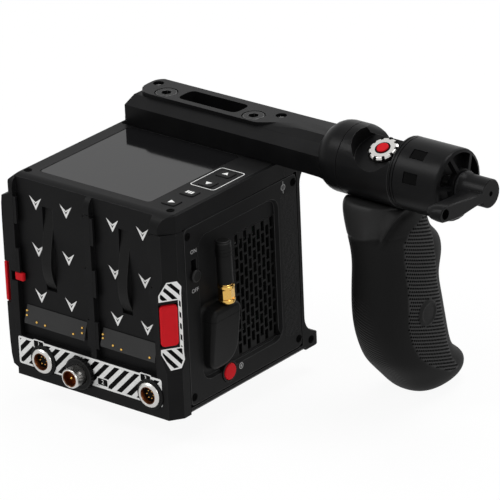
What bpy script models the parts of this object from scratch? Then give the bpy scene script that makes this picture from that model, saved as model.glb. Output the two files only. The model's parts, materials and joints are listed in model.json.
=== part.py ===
"""Cinema camera rig: a small cube camera with a beam across its top and a swivelling hand grip.

Metres, +Z up, +Y the way the lens looks, +X to the operator's right. The origin is the middle of the
camera's bottom face. Every moving piece has its object origin on its joint's axis.
"""
from math import asin, atan2, cos, hypot, pi, radians, sin, sqrt

import bmesh
import bpy
from mathutils import Matrix, Vector

MM = 0.001

# Clearances
GAP = 0.3 * MM
RUN = 0.3 * MM

# Camera housing
BODY_WIDTH = 92.8 * MM
BODY_LENGTH = 101.6 * MM
BODY_HEIGHT = 97.8 * MM
PANEL_THICKNESS = 3.2 * MM
COVER_THICKNESS = 8.9 * MM
SILL_HEIGHT = 3.0 * MM
FLOOR_HEIGHT = 8.0 * MM
WALL_DEPTH = 10.5 * MM
LUG_LENGTH = 9.3 * MM
LUG_SIZE = 9.8 * MM
LUG_FLARE = 6.0 * MM
LUG_ROUND = 2.0 * MM
FRONT_FRAME = 2.0 * MM
LUG_HOLE_RADIUS = 1.6 * MM
REAR_DEPTH = 11.9 * MM
CHAMFER_SIDE = 6.0 * MM
CHAMFER_REAR = 4.1 * MM
CORNER_RECESS = 2.7 * MM
CORNER_RECESS_LOW_Z = 31.0 * MM
CORNER_RECESS_HIGH_Z = 59.5 * MM
CORNER_SLOPE = 8.3 * MM
SIDE_LIP = 5.0 * MM
SILL_CHAMFER = 1.5 * MM
EDGE = 0.8 * MM
COVER_CORNER = 1.0 * MM
COVER_LEFT_CORNER = 1.2 * MM
COVER_REAR_ROUND = 6.5 * MM
COVER_CUT = 5.4 * MM
COVER_SIDE_CHAMFER = 3.0 * MM
PANEL_CORNER = 2.5 * MM
BASE_PLATE_WIDTH = 60.0 * MM
BASE_PLATE_LENGTH = 56.0 * MM
BASE_PLATE_THICKNESS = 4.0 * MM
TRIPOD_HOLE_RADIUS = 3.2 * MM
STAND_HOLE_RADIUS = 4.8 * MM
TRIPOD_HOLE_OFFSET = 15.0 * MM

# Lens side
LENS_Z = 47.0 * MM
THROAT_RADIUS = 27.0 * MM
MOUNT_RADIUS = 32.5 * MM
MOUNT_THICKNESS = 3.0 * MM
FLANGE_RECESS = 0.6 * MM
BAYONET_DEPTH = 2.0 * MM
BAYONET_ANGLE = radians(52)
BOSS_RADIUS = 34.0 * MM
LOCK_PIN_RADIUS = 1.2 * MM
LOCK_PIN_PROUD = 1.5 * MM
LENS_RELEASE_MARGIN = 1.45 * MM
LENS_RELEASE_PROUD = 3.5 * MM
LENS_RELEASE_TRAVEL = 2.0 * MM
FLANGE_DISTANCE = 20.0 * MM
SENSOR_WIDTH = 32.0 * MM
SENSOR_HEIGHT = 20.0 * MM
SENSOR_GLASS = 1.0 * MM
SENSOR_BLOCK_WIDTH = 62.0 * MM
SENSOR_BLOCK_HEIGHT = 60.0 * MM
SENSOR_BLOCK_DEPTH = 5.0 * MM

# Top
SCREEN_LEFT_BORDER = 10.4 * MM
SCREEN_RIGHT_BORDER = 18.4 * MM
SCREEN_REAR_BORDER = 10.8 * MM
SCREEN_FRONT_BORDER = 1.0 * MM
SCREEN_CORNER = 2.0 * MM
GLASS_THICKNESS = 1.2 * MM
GLASS_RECESS = 0.1 * MM
DISPLAY_THICKNESS = 1.4 * MM
DISPLAY_BORDER = 3.0 * MM
BUTTON_INSET = 9.9 * MM
BUTTON_SETBACK = 15.8 * MM
BUTTON_PITCH = 12.5 * MM
BUTTON_WIDTH = 7.4 * MM
BUTTON_LENGTH = 6.1 * MM
BUTTON_CORNER = 1.2 * MM
BUTTON_BODY = 2.2 * MM
BUTTON_PROUD = 0.5 * MM
BUTTON_TRAVEL = 0.5 * MM

# Rear
BAY_DEPTH = 2.8 * MM
FOOT_HEIGHT = 19.5 * MM
LEFT_RAIL = 2.9 * MM
RIGHT_RAIL = 5.8 * MM
RIB_WIDTH = 3.0 * MM
HOOK_REACH = 1.7 * MM
HOOK_THICKNESS = 1.3 * MM
HOOK_SETBACK = 0.1 * MM
HOOK_LENGTH = 13.0 * MM
HOOK_DROP = 7.6 * MM
HOOK_PITCH = 25.0 * MM
BULGE_WIDTH = 4.3 * MM
BULGE_DEPTH = 10.0 * MM
BULGE_LOW_Z = 3.0 * MM
BULGE_DROP = 0.6 * MM
BULGE_SQUARENESS = 4.2
BULGE_TOP_SQUARENESS = 8.0
SPRING_PLACES = (0.43, 0.5)
SPRING_WIDTH = 5.4 * MM
SPRING_THICKNESS = 0.8 * MM
SPRING_LENGTH = 40.0 * MM
SPRING_DROP = 3.9 * MM
SPRING_BOW = 4.2 * MM
SPRING_SLOT_DEPTH = 2.6 * MM
CONTACT_LEFT_MARGIN = 2.8 * MM
CONTACT_RIGHT_MARGINS = (3.6 * MM, 0.6 * MM)
CONTACT_LOW_Z = 26.5 * MM
CONTACT_HIGH_Z = 35.0 * MM
CONTACT_REACH = 2.6 * MM
CONTACT_LIP = 1.4 * MM
RELEASE_LOW_Z = 35.0 * MM
RELEASE_HIGH_Z = 54.6 * MM
RELEASE_WIDTH = 8.2 * MM
RELEASE_SETBACK = 0.6 * MM
RELEASE_PROUD = 1.3 * MM
RELEASE_SUNK = 1.0 * MM
RELEASE_TRAVEL = 1.2 * MM
LEFT_RELEASE_DEPTH = 4.6 * MM
LEFT_RELEASE_PROUD = 0.6 * MM
TAB_HEIGHT = 4.0 * MM
TAB_DEPTH = 2.0 * MM
TAB_REACH = 3.2 * MM
TAB_ROOT = 1.7 * MM
TAB_TRAVEL = 1.5 * MM
LEFT_TAB_Z = 48.5 * MM
RIGHT_TAB_Z = 64.0 * MM
RIGHT_TAB_REACH = 1.2 * MM
RIGHT_TAB_SETBACK = 1.6 * MM
RIGHT_TAB_DEPTH = 0.9 * MM
RIGHT_TAB_ROOT = 0.2 * MM
SOCKET_Z = 10.5 * MM
LEFT_SOCKET_INSET = 15.9 * MM
RIGHT_SOCKET_INSET = 14.1 * MM
SOCKET_RADIUS = 6.0 * MM
SOCKET_BORE = 4.1 * MM
SOCKET_PROUD = 2.2 * MM
SOCKET_SUNK = 6.0 * MM
COAX_OFFSET = 22.6 * MM
COAX_FLANGE_RADIUS = 7.4 * MM
COAX_FLANGE_THICKNESS = 2.4 * MM
COAX_RADIUS = 4.8 * MM
COAX_BORE = 3.9 * MM
COAX_PROUD = 8.6 * MM
COAX_SUNK = 5.0 * MM

# Right side
VENT_LENGTH = 28.0 * MM
VENT_SETBACK = 26.5 * MM
VENT_LOW_Z = 14.2 * MM
VENT_DROP = 24.8 * MM
VENT_CORNER = 1.0 * MM
VENT_COLUMNS = 9
VENT_ROWS = 10
VENT_WALL = 0.5 * MM
VENT_BRIDGE = 0.55 * MM
VENT_THICKNESS = 1.2 * MM
VENT_RECESS = 0.2 * MM
RECORD_SETBACK = 37.9 * MM
RECORD_Z = 10.7 * MM
RECORD_RADIUS = 3.9 * MM
RECORD_RING = 0.7 * MM
RECORD_PROUD = 1.0 * MM
RECORD_TRAVEL = 0.8 * MM
POWER_SETBACK = 17.0 * MM
POWER_Z = 65.0 * MM
POWER_RADIUS = 2.9 * MM
POWER_PROUD = 1.5 * MM
POWER_STEM = 1.4 * MM
POWER_TRAVEL = 6.0 * MM
RECESS_SETBACK = 21.2 * MM
RECESS_LOW_Z = 13.0 * MM
RECESS_CORNER = 5.0 * MM
RECESS_DRAFT = 1.2 * MM
RECESS_FRAME = 26.0 * MM
RECESS_DROP = 17.0 * MM
RECESS_DEPTH = 1.8 * MM
AERIAL_BASE_SETBACK = 21.6 * MM
AERIAL_BASE_LENGTH = 19.4 * MM
AERIAL_BASE_LOW_Z = 15.0 * MM
AERIAL_BASE_HIGH_Z = 46.5 * MM
AERIAL_BASE_PROUD = 6.4 * MM
AERIAL_BASE_EDGE = 3.0 * MM
AERIAL_OFFSET = 3.3 * MM
AERIAL_SETBACK = 34.5 * MM
AERIAL_TILT = radians(2)
AERIAL_NUT_RADIUS = 3.1 * MM
AERIAL_NUT_LENGTH = 9.2 * MM
AERIAL_SLEEVE_RADIUS = 3.6 * MM
AERIAL_SLEEVE_LENGTH = 20.6 * MM

# Left side
DOOR_SETBACK = 23.8 * MM
DOOR_JACK_SPACE = 14.0 * MM
DOOR_LOW_Z = 34.0 * MM
DOOR_HIGH_Z = 68.0 * MM
DOOR_PIN_RADIUS = 0.7 * MM
DOOR_PIN_ENGAGE = 2.0 * MM
READER_DEPTH = 6.0 * MM
READER_SLOT_WIDTH = 3.6 * MM
READER_SLOT_DEPTH = 4.0 * MM
READER_MARGIN = 3.0 * MM
JACK_SETBACK = 32.8 * MM
JACK_FIRST_Z = 52.0 * MM
JACK_PITCH = 13.0 * MM
JACK_RADIUS = 3.4 * MM
JACK_BORE = 1.75 * MM
JACK_LENGTH = 12.0 * MM
JACK_RECESS = 0.4 * MM

# Inside
FAN_SIZE = 31.0 * MM
FAN_DEPTH = 8.0 * MM
FAN_BORE_WALL = 1.6 * MM
FAN_HUB_RADIUS = 6.2 * MM
FAN_TIP_GAP = 0.6 * MM
FAN_AXLE_RADIUS = 1.2 * MM
FAN_WEB = 1.4 * MM
FAN_ARM = 2.4 * MM
FAN_BLADES = 7
FAN_BLADE_THICKNESS = 0.9 * MM
FAN_BLADE_PITCH = radians(38)
SINK_BASE = 3.0 * MM
SINK_LENGTH = 52.0 * MM
SINK_FINS = 9
SINK_FIN = 1.4 * MM
SINK_HEIGHT = 50.0 * MM
SINK_DEPTH = 28.0 * MM
BOARD_THICKNESS = 1.6 * MM
BOARD_MARGIN = 3.0 * MM

# Beam and knuckle
BEAM_LEFT_INSET = 6.8 * MM
BEAM_OVERHANG = 0.6 * MM
BEAM_REAR_SETBACK = 27.3 * MM
BEAM_FRONT_SETBACK = 1.2 * MM
BEAM_SHOULDER = 9.4 * MM
BEAM_STEP = 2.0 * MM
BEAM_HEIGHT = 14.2 * MM
PLATE_SETBACK = 20.3 * MM
PLATE_END_RADIUS = 9.0 * MM
PLATE_FRONT_RADIUS = 6.0 * MM
WAIST_X = 30.0 * MM
WAIST_LENGTH = 11.0 * MM
WAIST_DEPTH = 5.2 * MM
SKIN = 0.05 * MM
BOLT_SPACING = 50.8 * MM
BOLT_SETBACK = 14.3 * MM
BOLT_RADIUS = 3.0 * MM
BOLT_HEAD_RADIUS = 5.2 * MM
BOLT_HEAD_HEIGHT = 4.0 * MM
BOLT_HEX = 2.6 * MM
BOLT_HEX_DEPTH = 2.4 * MM
BOLT_ENGAGE = 8.0 * MM
POCKET_LENGTH = 34.0 * MM
POCKET_WIDTH = 11.0 * MM
POCKET_DEPTH = 8.0 * MM
POCKET_CORNER = 3.0 * MM
END_HOLE_RADIUS = 2.6 * MM
END_HOLE_DEPTH = 7.0 * MM
LEFT_END_HOLE_INSET = 4.0 * MM
RIGHT_END_HOLE_INSET = 11.0 * MM
END_HOLE_SETBACK = 7.6 * MM
PIVOT_RISE = 6.7 * MM
KNUCKLE_RADIUS = 16.4 * MM
NECK_LENGTH = 32.0 * MM
KNUCKLE_SWELL = 12.0 * MM
NECK_LAG = 1.25
KNUCKLE_LENGTH = 5.0 * MM
KNUCKLE_EDGE = 0.12 * MM
SHAFT_RADIUS = 3.0 * MM
SHAFT_ENGAGE = 16.0 * MM

# Grip head, collar and lever
HEAD_LENGTH = 28.1 * MM
HEAD_ROUND = 0.12 * MM
FLAT_TILT = radians(23)
FLAT_RADIUS = 9.2 * MM
SCOOP_RADIUS = 13.4 * MM
FAR_START = 0.5 * MM
FAR_TILT = radians(-30)
FAR_RADIUS = 12.4 * MM
FAR_FADE = 5.4 * MM
TRIGGER_OFFSET = 17.3 * MM
TRIGGER_RADIUS = 2.8 * MM
TRIGGER_PROUD = 0.7 * MM
TRIGGER_TRAVEL = 0.8 * MM
TRIGGER_BODY = 5.4 * MM
BEZEL_RADIUS = 7.0 * MM
BEZEL_THICKNESS = 1.9 * MM
STEM_WIDTH = 16.0 * MM
STEM_DEPTH = 18.0 * MM
STEM_LENGTH = 58.0 * MM
COLLAR_LENGTH = 24.6 * MM
COLLAR_WALL = 1.5 * MM
COLLAR_WEB = 19.5 * MM
COLLAR_NOSE = 1.6 * MM
COLLAR_NOSE_RADIUS = 15.8 * MM
COLLAR_GROOVES = 2
COLLAR_GROOVE = 0.5 * MM
COLLAR_GROOVE_PITCH = 1.5 * MM
COLLAR_WINDOW_LENGTH = 7.4 * MM
COLLAR_WINDOW_WIDTH = 5.0 * MM
COLLAR_WINDOW_DEPTH = 1.0 * MM
COLLAR_WINDOW_X = 8.0 * MM
COLLAR_WINDOW_ANGLES = tuple(radians(angle) for angle in (122, 162, 302, 342))
CAP_RISE = 2.6 * MM
CAP_HUB_RADIUS = 7.4 * MM
CAP_THICKNESS = 2.4 * MM
CAP_RIM = 1.0 * MM
SPOKES = 6
SPOKE_WIDTH = 1.8 * MM
SPOKE_PHASE = radians(50)
WASHER_THICKNESS = 1.0 * MM
WASHER_RADIUS = 6.8 * MM
HUB_RADIUS = 6.5 * MM
HUB_LENGTH = 13.4 * MM
HUB_FLARE = 0.9 * MM
HUB_FLARE_LENGTH = 3.0 * MM
HUB_END_HOLE = 1.2 * MM
HUB_END_WALL = 3.0 * MM
ARM_WIDTH = 12.6 * MM
ARM_TIP_WIDTH = 9.6 * MM
ARM_FLAT = 0.35
ARM_LENGTH = 36.2 * MM
ARM_LIFT = 1.9 * MM
ARM_CURVE = 3.0
ARM_NECK = 2.4 * MM
ARM_BELLY = 3.6 * MM
ARM_HOLE_RADIUS = 2.4 * MM
ARM_HOLE_DEPTH = 4.0 * MM

# Grip: how far each section lies below the pivot, its rear and front edges from the pivot and its half width
GRIP_OFFSET = 11.7 * MM
GRIP_SECTIONS = (
    (117.0 * MM, 20.5 * MM, 30.0 * MM, 5.0 * MM),
    (116.0 * MM, 16.0 * MM, 38.5 * MM, 9.5 * MM),
    (113.6 * MM, 12.0 * MM, 45.8 * MM, 13.0 * MM),
    (109.8 * MM, 8.0 * MM, 49.1 * MM, 15.2 * MM),
    (104.8 * MM, 3.5 * MM, 47.7 * MM, 16.4 * MM),
    (98.8 * MM, -2.0 * MM, 40.0 * MM, 17.0 * MM),
    (92.8 * MM, -6.5 * MM, 37.0 * MM, 17.0 * MM),
    (80.8 * MM, -11.5 * MM, 34.7 * MM, 17.0 * MM),
    (68.8 * MM, -13.1 * MM, 32.2 * MM, 17.0 * MM),
    (56.8 * MM, -12.1 * MM, 29.7 * MM, 17.0 * MM),
    (47.8 * MM, -11.7 * MM, 32.9 * MM, 17.0 * MM),
    (39.8 * MM, -12.5 * MM, 31.1 * MM, 17.0 * MM),
    (33.8 * MM, -13.5 * MM, 24.5 * MM, 17.0 * MM),
    (24.8 * MM, -15.5 * MM, 21.0 * MM, 17.0 * MM),
    (17.8 * MM, -16.0 * MM, 18.5 * MM, 16.6 * MM),
    (14.8 * MM, -14.0 * MM, 16.0 * MM, 15.0 * MM),
)
GRIP_SQUARENESS = 2.4
GRIP_SIDES = 20

# Places worked out from the sizes above
HALF_WIDTH = BODY_WIDTH / 2
FRONT_Y = BODY_LENGTH / 2
REAR_Y = -BODY_LENGTH / 2
WALL_FRONT = FRONT_Y - LUG_LENGTH
WALL_BACK = WALL_FRONT - WALL_DEPTH
REAR_INNER = REAR_Y + REAR_DEPTH
PANEL_INNER = HALF_WIDTH - PANEL_THICKNESS
PANEL_REAR = REAR_Y + CHAMFER_SIDE + SIDE_LIP
PANEL_FRONT = WALL_FRONT - FRONT_FRAME - GAP
PANEL_LOW = SILL_HEIGHT + GAP
COVER_UNDER = BODY_HEIGHT - COVER_THICKNESS
PANEL_HIGH = COVER_UNDER - GAP
BAY_FLOOR = REAR_Y + BAY_DEPTH
CHAMFER_ANGLE = atan2(CHAMFER_SIDE, CHAMFER_REAR)
RECESS_X = HALF_WIDTH - CHAMFER_REAR - CORNER_RECESS / sin(CHAMFER_ANGLE)
BULGE_HIGH_Z = PANEL_HIGH - BULGE_DROP + GAP
HOOK_LAST_Z = PANEL_HIGH - HOOK_DROP
SPRING_HIGH_Z = COVER_UNDER - SPRING_DROP
SPRING_LOW_Z = SPRING_HIGH_Z - SPRING_LENGTH
LEFT_SOCKET_X = -HALF_WIDTH + LEFT_SOCKET_INSET
RIGHT_SOCKET_X = HALF_WIDTH - RIGHT_SOCKET_INSET
COAX_X = LEFT_SOCKET_X + COAX_OFFSET
FLANGE_Y = FRONT_Y - FLANGE_RECESS
LENS_RELEASE_RADIUS = (PANEL_INNER - GAP - BOSS_RADIUS) / 2 - LENS_RELEASE_MARGIN
SENSOR_Y = FLANGE_Y - FLANGE_DISTANCE
BEAM_BASE = BODY_HEIGHT + GAP
BEAM_TOP = BEAM_BASE + BEAM_HEIGHT
BEAM_LEFT_X = -HALF_WIDTH + BEAM_LEFT_INSET
BEAM_RIGHT_X = HALF_WIDTH + BEAM_OVERHANG
BEAM_REAR_Y = FRONT_Y - BEAM_REAR_SETBACK
BEAM_FRONT_Y = FRONT_Y - BEAM_FRONT_SETBACK
PLATE_REAR_Y = FRONT_Y - PLATE_SETBACK
LEFT_END_HOLE_X = BEAM_LEFT_X + LEFT_END_HOLE_INSET
RIGHT_END_HOLE_X = BEAM_RIGHT_X - RIGHT_END_HOLE_INSET
END_HOLE_Y = FRONT_Y - END_HOLE_SETBACK
BOLT_Y = FRONT_Y - BOLT_SETBACK
SCREEN_LEFT = -HALF_WIDTH + SCREEN_LEFT_BORDER
SCREEN_RIGHT = HALF_WIDTH - SCREEN_RIGHT_BORDER
SCREEN_REAR = REAR_Y + SCREEN_REAR_BORDER
SCREEN_FRONT = BEAM_REAR_Y - SCREEN_FRONT_BORDER
BUTTON_X = HALF_WIDTH - BUTTON_INSET
BUTTON_FIRST_Y = REAR_Y + BUTTON_SETBACK
PIVOT_Y = BOLT_Y
PIVOT_Z = BEAM_BASE + PIVOT_RISE
KNUCKLE_CENTRE_X = BEAM_RIGHT_X + NECK_LENGTH
KNUCKLE_RIGHT_X = KNUCKLE_CENTRE_X + KNUCKLE_LENGTH
HEAD_LEFT_X = KNUCKLE_RIGHT_X + RUN
HEAD_RIGHT_X = HEAD_LEFT_X + HEAD_LENGTH
TRIGGER_X = HEAD_LEFT_X + TRIGGER_OFFSET
GRIP_X = HEAD_LEFT_X + GRIP_OFFSET
COLLAR_LEFT_X = HEAD_RIGHT_X + GAP
COLLAR_RIGHT_X = COLLAR_LEFT_X + COLLAR_LENGTH
NOSE_X = COLLAR_RIGHT_X + COLLAR_NOSE
CAP_X = NOSE_X + CAP_RISE
WASHER_X = CAP_X + RUN
HUB_X = WASHER_X + WASHER_THICKNESS + RUN
HUB_END_X = HUB_X + HUB_LENGTH
SHAFT_BORE = SHAFT_RADIUS + RUN
VENT_FRONT_Y = FRONT_Y - VENT_SETBACK
VENT_REAR_Y = VENT_FRONT_Y - VENT_LENGTH
VENT_HIGH_Z = BODY_HEIGHT - VENT_DROP
RECESS_REAR_Y = REAR_Y + RECESS_SETBACK
RECESS_FRONT_Y = FRONT_Y - RECESS_FRAME
RECESS_HIGH_Z = BODY_HEIGHT - RECESS_DROP
RECESS_FLOOR = HALF_WIDTH - RECESS_DEPTH
RECORD_Y = REAR_Y + RECORD_SETBACK
POWER_Y = REAR_Y + POWER_SETBACK
DOOR_REAR_Y = REAR_Y + DOOR_SETBACK
JACK_Y = FRONT_Y - JACK_SETBACK
DOOR_FRONT_Y = JACK_Y - DOOR_JACK_SPACE
FAN_Y = (VENT_REAR_Y + VENT_FRONT_Y) / 2
FAN_Z = (VENT_LOW_Z + VENT_HIGH_Z) / 2
FAN_RIGHT_X = PANEL_INNER - GAP
FAN_LEFT_X = FAN_RIGHT_X - FAN_DEPTH
AERIAL_X = HALF_WIDTH + AERIAL_OFFSET
AERIAL_Y = REAR_Y + AERIAL_SETBACK
AERIAL_BASE_REAR_Y = REAR_Y + AERIAL_BASE_SETBACK
AERIAL_BASE_FRONT_Y = AERIAL_BASE_REAR_Y + AERIAL_BASE_LENGTH
AERIAL_Z = AERIAL_BASE_HIGH_Z + RUN

# Which two coordinates an outline gives, and which one it is swept along
SWEEP = {"X": "YZX", "Y": "XZY", "Z": "XYZ"}


def clear_scene():
    for item in list(bpy.data.objects):
        bpy.data.objects.remove(item)


def finish(name, colour, roughness, metallic):
    """A Principled material in one colour of the real piece."""
    material = bpy.data.materials.new(name)
    material.use_nodes = True
    shader = material.node_tree.nodes["Principled BSDF"]
    shader.inputs["Base Color"].default_value = (*colour, 1)
    shader.inputs["Roughness"].default_value = roughness
    shader.inputs["Metallic"].default_value = metallic
    return material


def at(axis, u, v, along):
    """The point with outline coordinates u and v, so far along the axis."""
    place = dict(zip(SWEEP[axis], (u, v, along)))
    return Vector((place["X"], place["Y"], place["Z"]))


def body(shape):
    """An object with the finished bmesh, its faces turned outwards."""
    bmesh.ops.recalc_face_normals(shape, faces=shape.faces)
    mesh = bpy.data.meshes.new("shape")
    shape.to_mesh(mesh)
    shape.free()
    item = bpy.data.objects.new("shape", mesh)
    bpy.context.collection.objects.link(item)
    return item


def loft(rings, closed=False):
    """A body through rings of equally many points, capped at both ends unless the rings close up."""
    shape = bmesh.new()
    loops = [[shape.verts.new(point) for point in ring] for ring in rings]
    pairs = list(zip(loops, loops[1:]))
    if closed:
        pairs.append((loops[-1], loops[0]))
    for low, high in pairs:
        for here in range(len(low)):
            there = (here + 1) % len(low)
            shape.faces.new((low[here], low[there], high[there], high[here]))
    if not closed:
        shape.faces.new(loops[0])
        shape.faces.new(loops[-1])
    return body(shape)


def block(low, high, edge=0.0):
    """A box between two corners, with its edges chamfered where an edge is given."""
    outline = [(low[0], low[1]), (high[0], low[1]), (high[0], high[1]), (low[0], high[1])]
    rings = [[Vector((x, y, z)) for x, y in outline] for z in (low[2], high[2])]
    item = loft(rings)
    if edge:
        shape = bmesh.new()
        shape.from_mesh(item.data)
        bmesh.ops.bevel(shape, geom=shape.edges[:], offset=edge, segments=1, affect='EDGES')
        shape.to_mesh(item.data)
        shape.free()
    return item


def rounded(corners, steps=4):
    """An outline whose corners, each (u, v, radius), are turned into arcs."""
    outline = []
    count = len(corners)
    for index, (u, v, radius) in enumerate(corners):
        corner = Vector((u, v))
        before = Vector(corners[index - 1][:2]) - corner
        after = Vector(corners[(index + 1) % count][:2]) - corner
        before.normalize()
        after.normalize()
        if radius <= 0:
            outline.append((u, v))
            continue
        half = before.angle(after) / 2
        centre = corner + (before + after).normalized() * (radius / sin(half))
        start = corner + before * (radius * cos(half) / sin(half)) - centre
        turn = before.angle_signed(after)
        sweep = (pi - 2 * half) * (1 if turn > 0 else -1)
        for step in range(steps + 1):
            spoke = start.copy()
            spoke.rotate(Matrix.Rotation(sweep * step / steps, 2))
            outline.append(tuple(centre + spoke))
    return outline


def rectangle(low_u, low_v, high_u, high_v, radius=0.0, steps=4):
    corners = [(low_u, low_v), (high_u, low_v), (high_u, high_v), (low_u, high_v)]
    return rounded([(u, v, radius) for u, v in corners], steps)


def circle(u, v, radius, sides):
    angles = [2 * pi * index / sides for index in range(sides)]
    return [(u + radius * cos(angle), v + radius * sin(angle)) for angle in angles]


def shrunk(outline, amount):
    """The outline moved inwards by an amount."""
    count = len(outline)
    area = sum(outline[i - 1][0] * outline[i][1] - outline[i][0] * outline[i - 1][1] for i in range(count))
    side = 1 if area > 0 else -1
    result = []
    for index in range(count):
        here = Vector(outline[index])
        back = (here - Vector(outline[index - 1])).normalized()
        ahead = (Vector(outline[(index + 1) % count]) - here).normalized()
        inward = (Vector((-back.y, back.x)) + Vector((-ahead.y, ahead.x))) * side
        result.append(tuple(here + inward * (amount / (1 + back.dot(ahead)))))
    return result


def prism(axis, outline, start, end, edge=0.0, steps=1):
    """The outline swept from start to end. With an edge, the rim at the end is rounded off."""
    rings = [[at(axis, u, v, start) for u, v in outline]]
    if not edge:
        rings.append([at(axis, u, v, end) for u, v in outline])
        return loft(rings)
    side = 1 if end > start else -1
    for step in range(steps + 1):
        turn = (pi / 2) * step / steps
        inset = edge * (1 - cos(turn))
        along = end - side * edge * (1 - sin(turn))
        ring = shrunk(outline, inset) if step else outline
        rings.append([at(axis, u, v, along) for u, v in ring])
    return loft(rings)


def turned(axis, centre, profile, sides=24, tube=False):
    """A profile of (along, radius) points turned about an axis through the centre."""
    rings = []
    for along, radius in profile:
        rings.append([at(axis, u, v, along) for u, v in circle(centre[0], centre[1], radius, sides)])
    return loft(rings, closed=tube)


def rod(axis, centre, radius, start, end, sides=24):
    return turned(axis, centre, [(start, radius), (end, radius)], sides)


def ring(axis, centre, outer, inner, start, end, sides=24):
    profile = [(start, outer), (end, outer), (end, inner), (start, inner)]
    return turned(axis, centre, profile, sides, tube=True)


def combine(piece, tools, operation):
    """Boolean the tools into the piece one after another, and remove them."""
    for tool in tools:
        step = piece.modifiers.new("combine", 'BOOLEAN')
        step.operation = operation
        step.solver = 'EXACT'
        step.object = tool
        graph = bpy.context.evaluated_depsgraph_get()
        mesh = bpy.data.meshes.new_from_object(piece.evaluated_get(graph))
        piece.modifiers.remove(step)
        piece.data = mesh
        bpy.data.objects.remove(tool)
    return piece


def cut(piece, *tools):
    return combine(piece, tools, 'DIFFERENCE')


def join(piece, *tools):
    return combine(piece, tools, 'UNION')


def turn(piece, axis, angle, point):
    """Turn a piece's mesh about an axis through a point."""
    there = Matrix.Translation(Vector(point))
    piece.data.transform(there @ Matrix.Rotation(angle, 4, axis) @ there.inverted())
    return piece


def place(name, piece, material, origin=(0, 0, 0), smooth=35):
    """Name and paint a finished piece, and put its origin on its joint's axis."""
    piece.name = name
    piece.data.name = name
    piece.data.transform(Matrix.Translation(-Vector(origin)))
    piece.location = origin
    piece.data.materials.clear()
    piece.data.materials.append(material)
    piece.data.shade_smooth()
    piece.data.set_sharp_from_angle(angle=radians(smooth))
    return piece


def corner_lug(side, top):
    """A front corner lug that flares out of the wall with a concave sweep."""
    rings = []
    steps = 5
    stations = []
    for step in range(steps + 1):
        angle = pi / 2 * step / steps
        stations.append((WALL_FRONT + LUG_FLARE * (1 - cos(angle)), LUG_FLARE * (1 - sin(angle))))
    for step in range(4):
        angle = pi / 2 * step / 3
        stations.append((FRONT_Y - LUG_ROUND * (1 - sin(angle)), LUG_ROUND * (cos(angle) - 1)))
    for y, flare in stations:
        outer = side * HALF_WIDTH
        inner = side * (HALF_WIDTH - LUG_SIZE - flare)
        base = BODY_HEIGHT if top else 0
        reach = base + (-1 if top else 1) * (LUG_SIZE + flare)
        inset = max(0, -flare)
        outer -= side * inset
        base += -inset if top else inset
        rings.append([Vector(p) for p in ((outer, y, base), (inner, y, base), (inner, y, reach),
                                          (outer, y, reach))])
    return loft(rings)


def lug_places():
    middle = LUG_SIZE / 2
    for side in (-1, 1):
        yield side * (HALF_WIDTH - middle), middle
        yield side * (HALF_WIDTH - middle), BODY_HEIGHT - middle


def make_chassis(black):
    inner = PANEL_INNER - GAP
    rear = REAR_INNER + GAP
    sill = [(-HALF_WIDTH + SILL_CHAMFER, 0), (HALF_WIDTH - SILL_CHAMFER, 0), (HALF_WIDTH, SILL_CHAMFER),
            (HALF_WIDTH, SILL_HEIGHT), (-HALF_WIDTH, SILL_HEIGHT), (-HALF_WIDTH, SILL_CHAMFER)]
    piece = prism("Y", sill, PANEL_REAR, WALL_FRONT)
    cut(piece, block((-PANEL_INNER, PANEL_REAR - GAP, -GAP), (PANEL_INNER, rear, SILL_HEIGHT + GAP)))
    within = inner - GAP
    floor = block((-within, rear, SILL_HEIGHT / 2), (within, WALL_FRONT - GAP, FLOOR_HEIGHT))
    wall = block((-inner, WALL_BACK, SILL_HEIGHT / 2), (inner, WALL_FRONT, BODY_HEIGHT - SILL_HEIGHT))
    brow = block((-HALF_WIDTH, WALL_BACK, COVER_UNDER), (HALF_WIDTH, WALL_FRONT, BODY_HEIGHT))
    seat = FLANGE_Y - MOUNT_THICKNESS - GAP
    boss = rod("Y", (0, LENS_Z), BOSS_RADIUS, WALL_FRONT - SILL_HEIGHT, seat, 40)
    front = block((-HALF_WIDTH, WALL_FRONT - FRONT_FRAME, SILL_HEIGHT / 2),
                  (HALF_WIDTH, WALL_FRONT, BODY_HEIGHT - SILL_HEIGHT))
    join(piece, floor, wall, brow, front, boss)
    for side in (-1, 1):
        for top in (False, True):
            join(piece, corner_lug(side, top))
    cut(piece, rod("Y", (0, LENS_Z), THROAT_RADIUS, WALL_BACK - GAP, FRONT_Y, 40))
    half_width = BASE_PLATE_WIDTH / 2 + GAP
    half_length = BASE_PLATE_LENGTH / 2 + GAP
    cut(piece, block((-half_width, -half_length, -GAP), (half_width, half_length,
                                                         BASE_PLATE_THICKNESS + GAP)))
    for x in (-BOLT_SPACING / 2, BOLT_SPACING / 2):
        cut(piece, rod("Z", (x, BOLT_Y), BOLT_RADIUS + GAP, BODY_HEIGHT - BOLT_ENGAGE - GAP, BEAM_TOP, 16))
    for x, z in lug_places():
        cut(piece, rod("Y", (x, z), LUG_HOLE_RADIUS, WALL_FRONT, FRONT_Y + GAP, 10))
    pin_x = lock_pin_x()
    cut(piece, rod("Y", (pin_x, LENS_Z), LOCK_PIN_RADIUS + RUN, WALL_FRONT - LENS_RELEASE_TRAVEL, FRONT_Y,
                   12))
    depth = LENS_RELEASE_PROUD + LENS_RELEASE_TRAVEL + RUN
    release = rod("Y", (lens_release_x(), LENS_Z), LENS_RELEASE_RADIUS + RUN, WALL_FRONT - depth, FRONT_Y,
                  16)
    cut(piece, release)
    place("chassis", piece, black)


def lock_pin_x():
    return -(THROAT_RADIUS + MOUNT_RADIUS) / 2


def lens_release_x():
    return -(BOSS_RADIUS + PANEL_INNER - GAP) / 2


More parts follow.
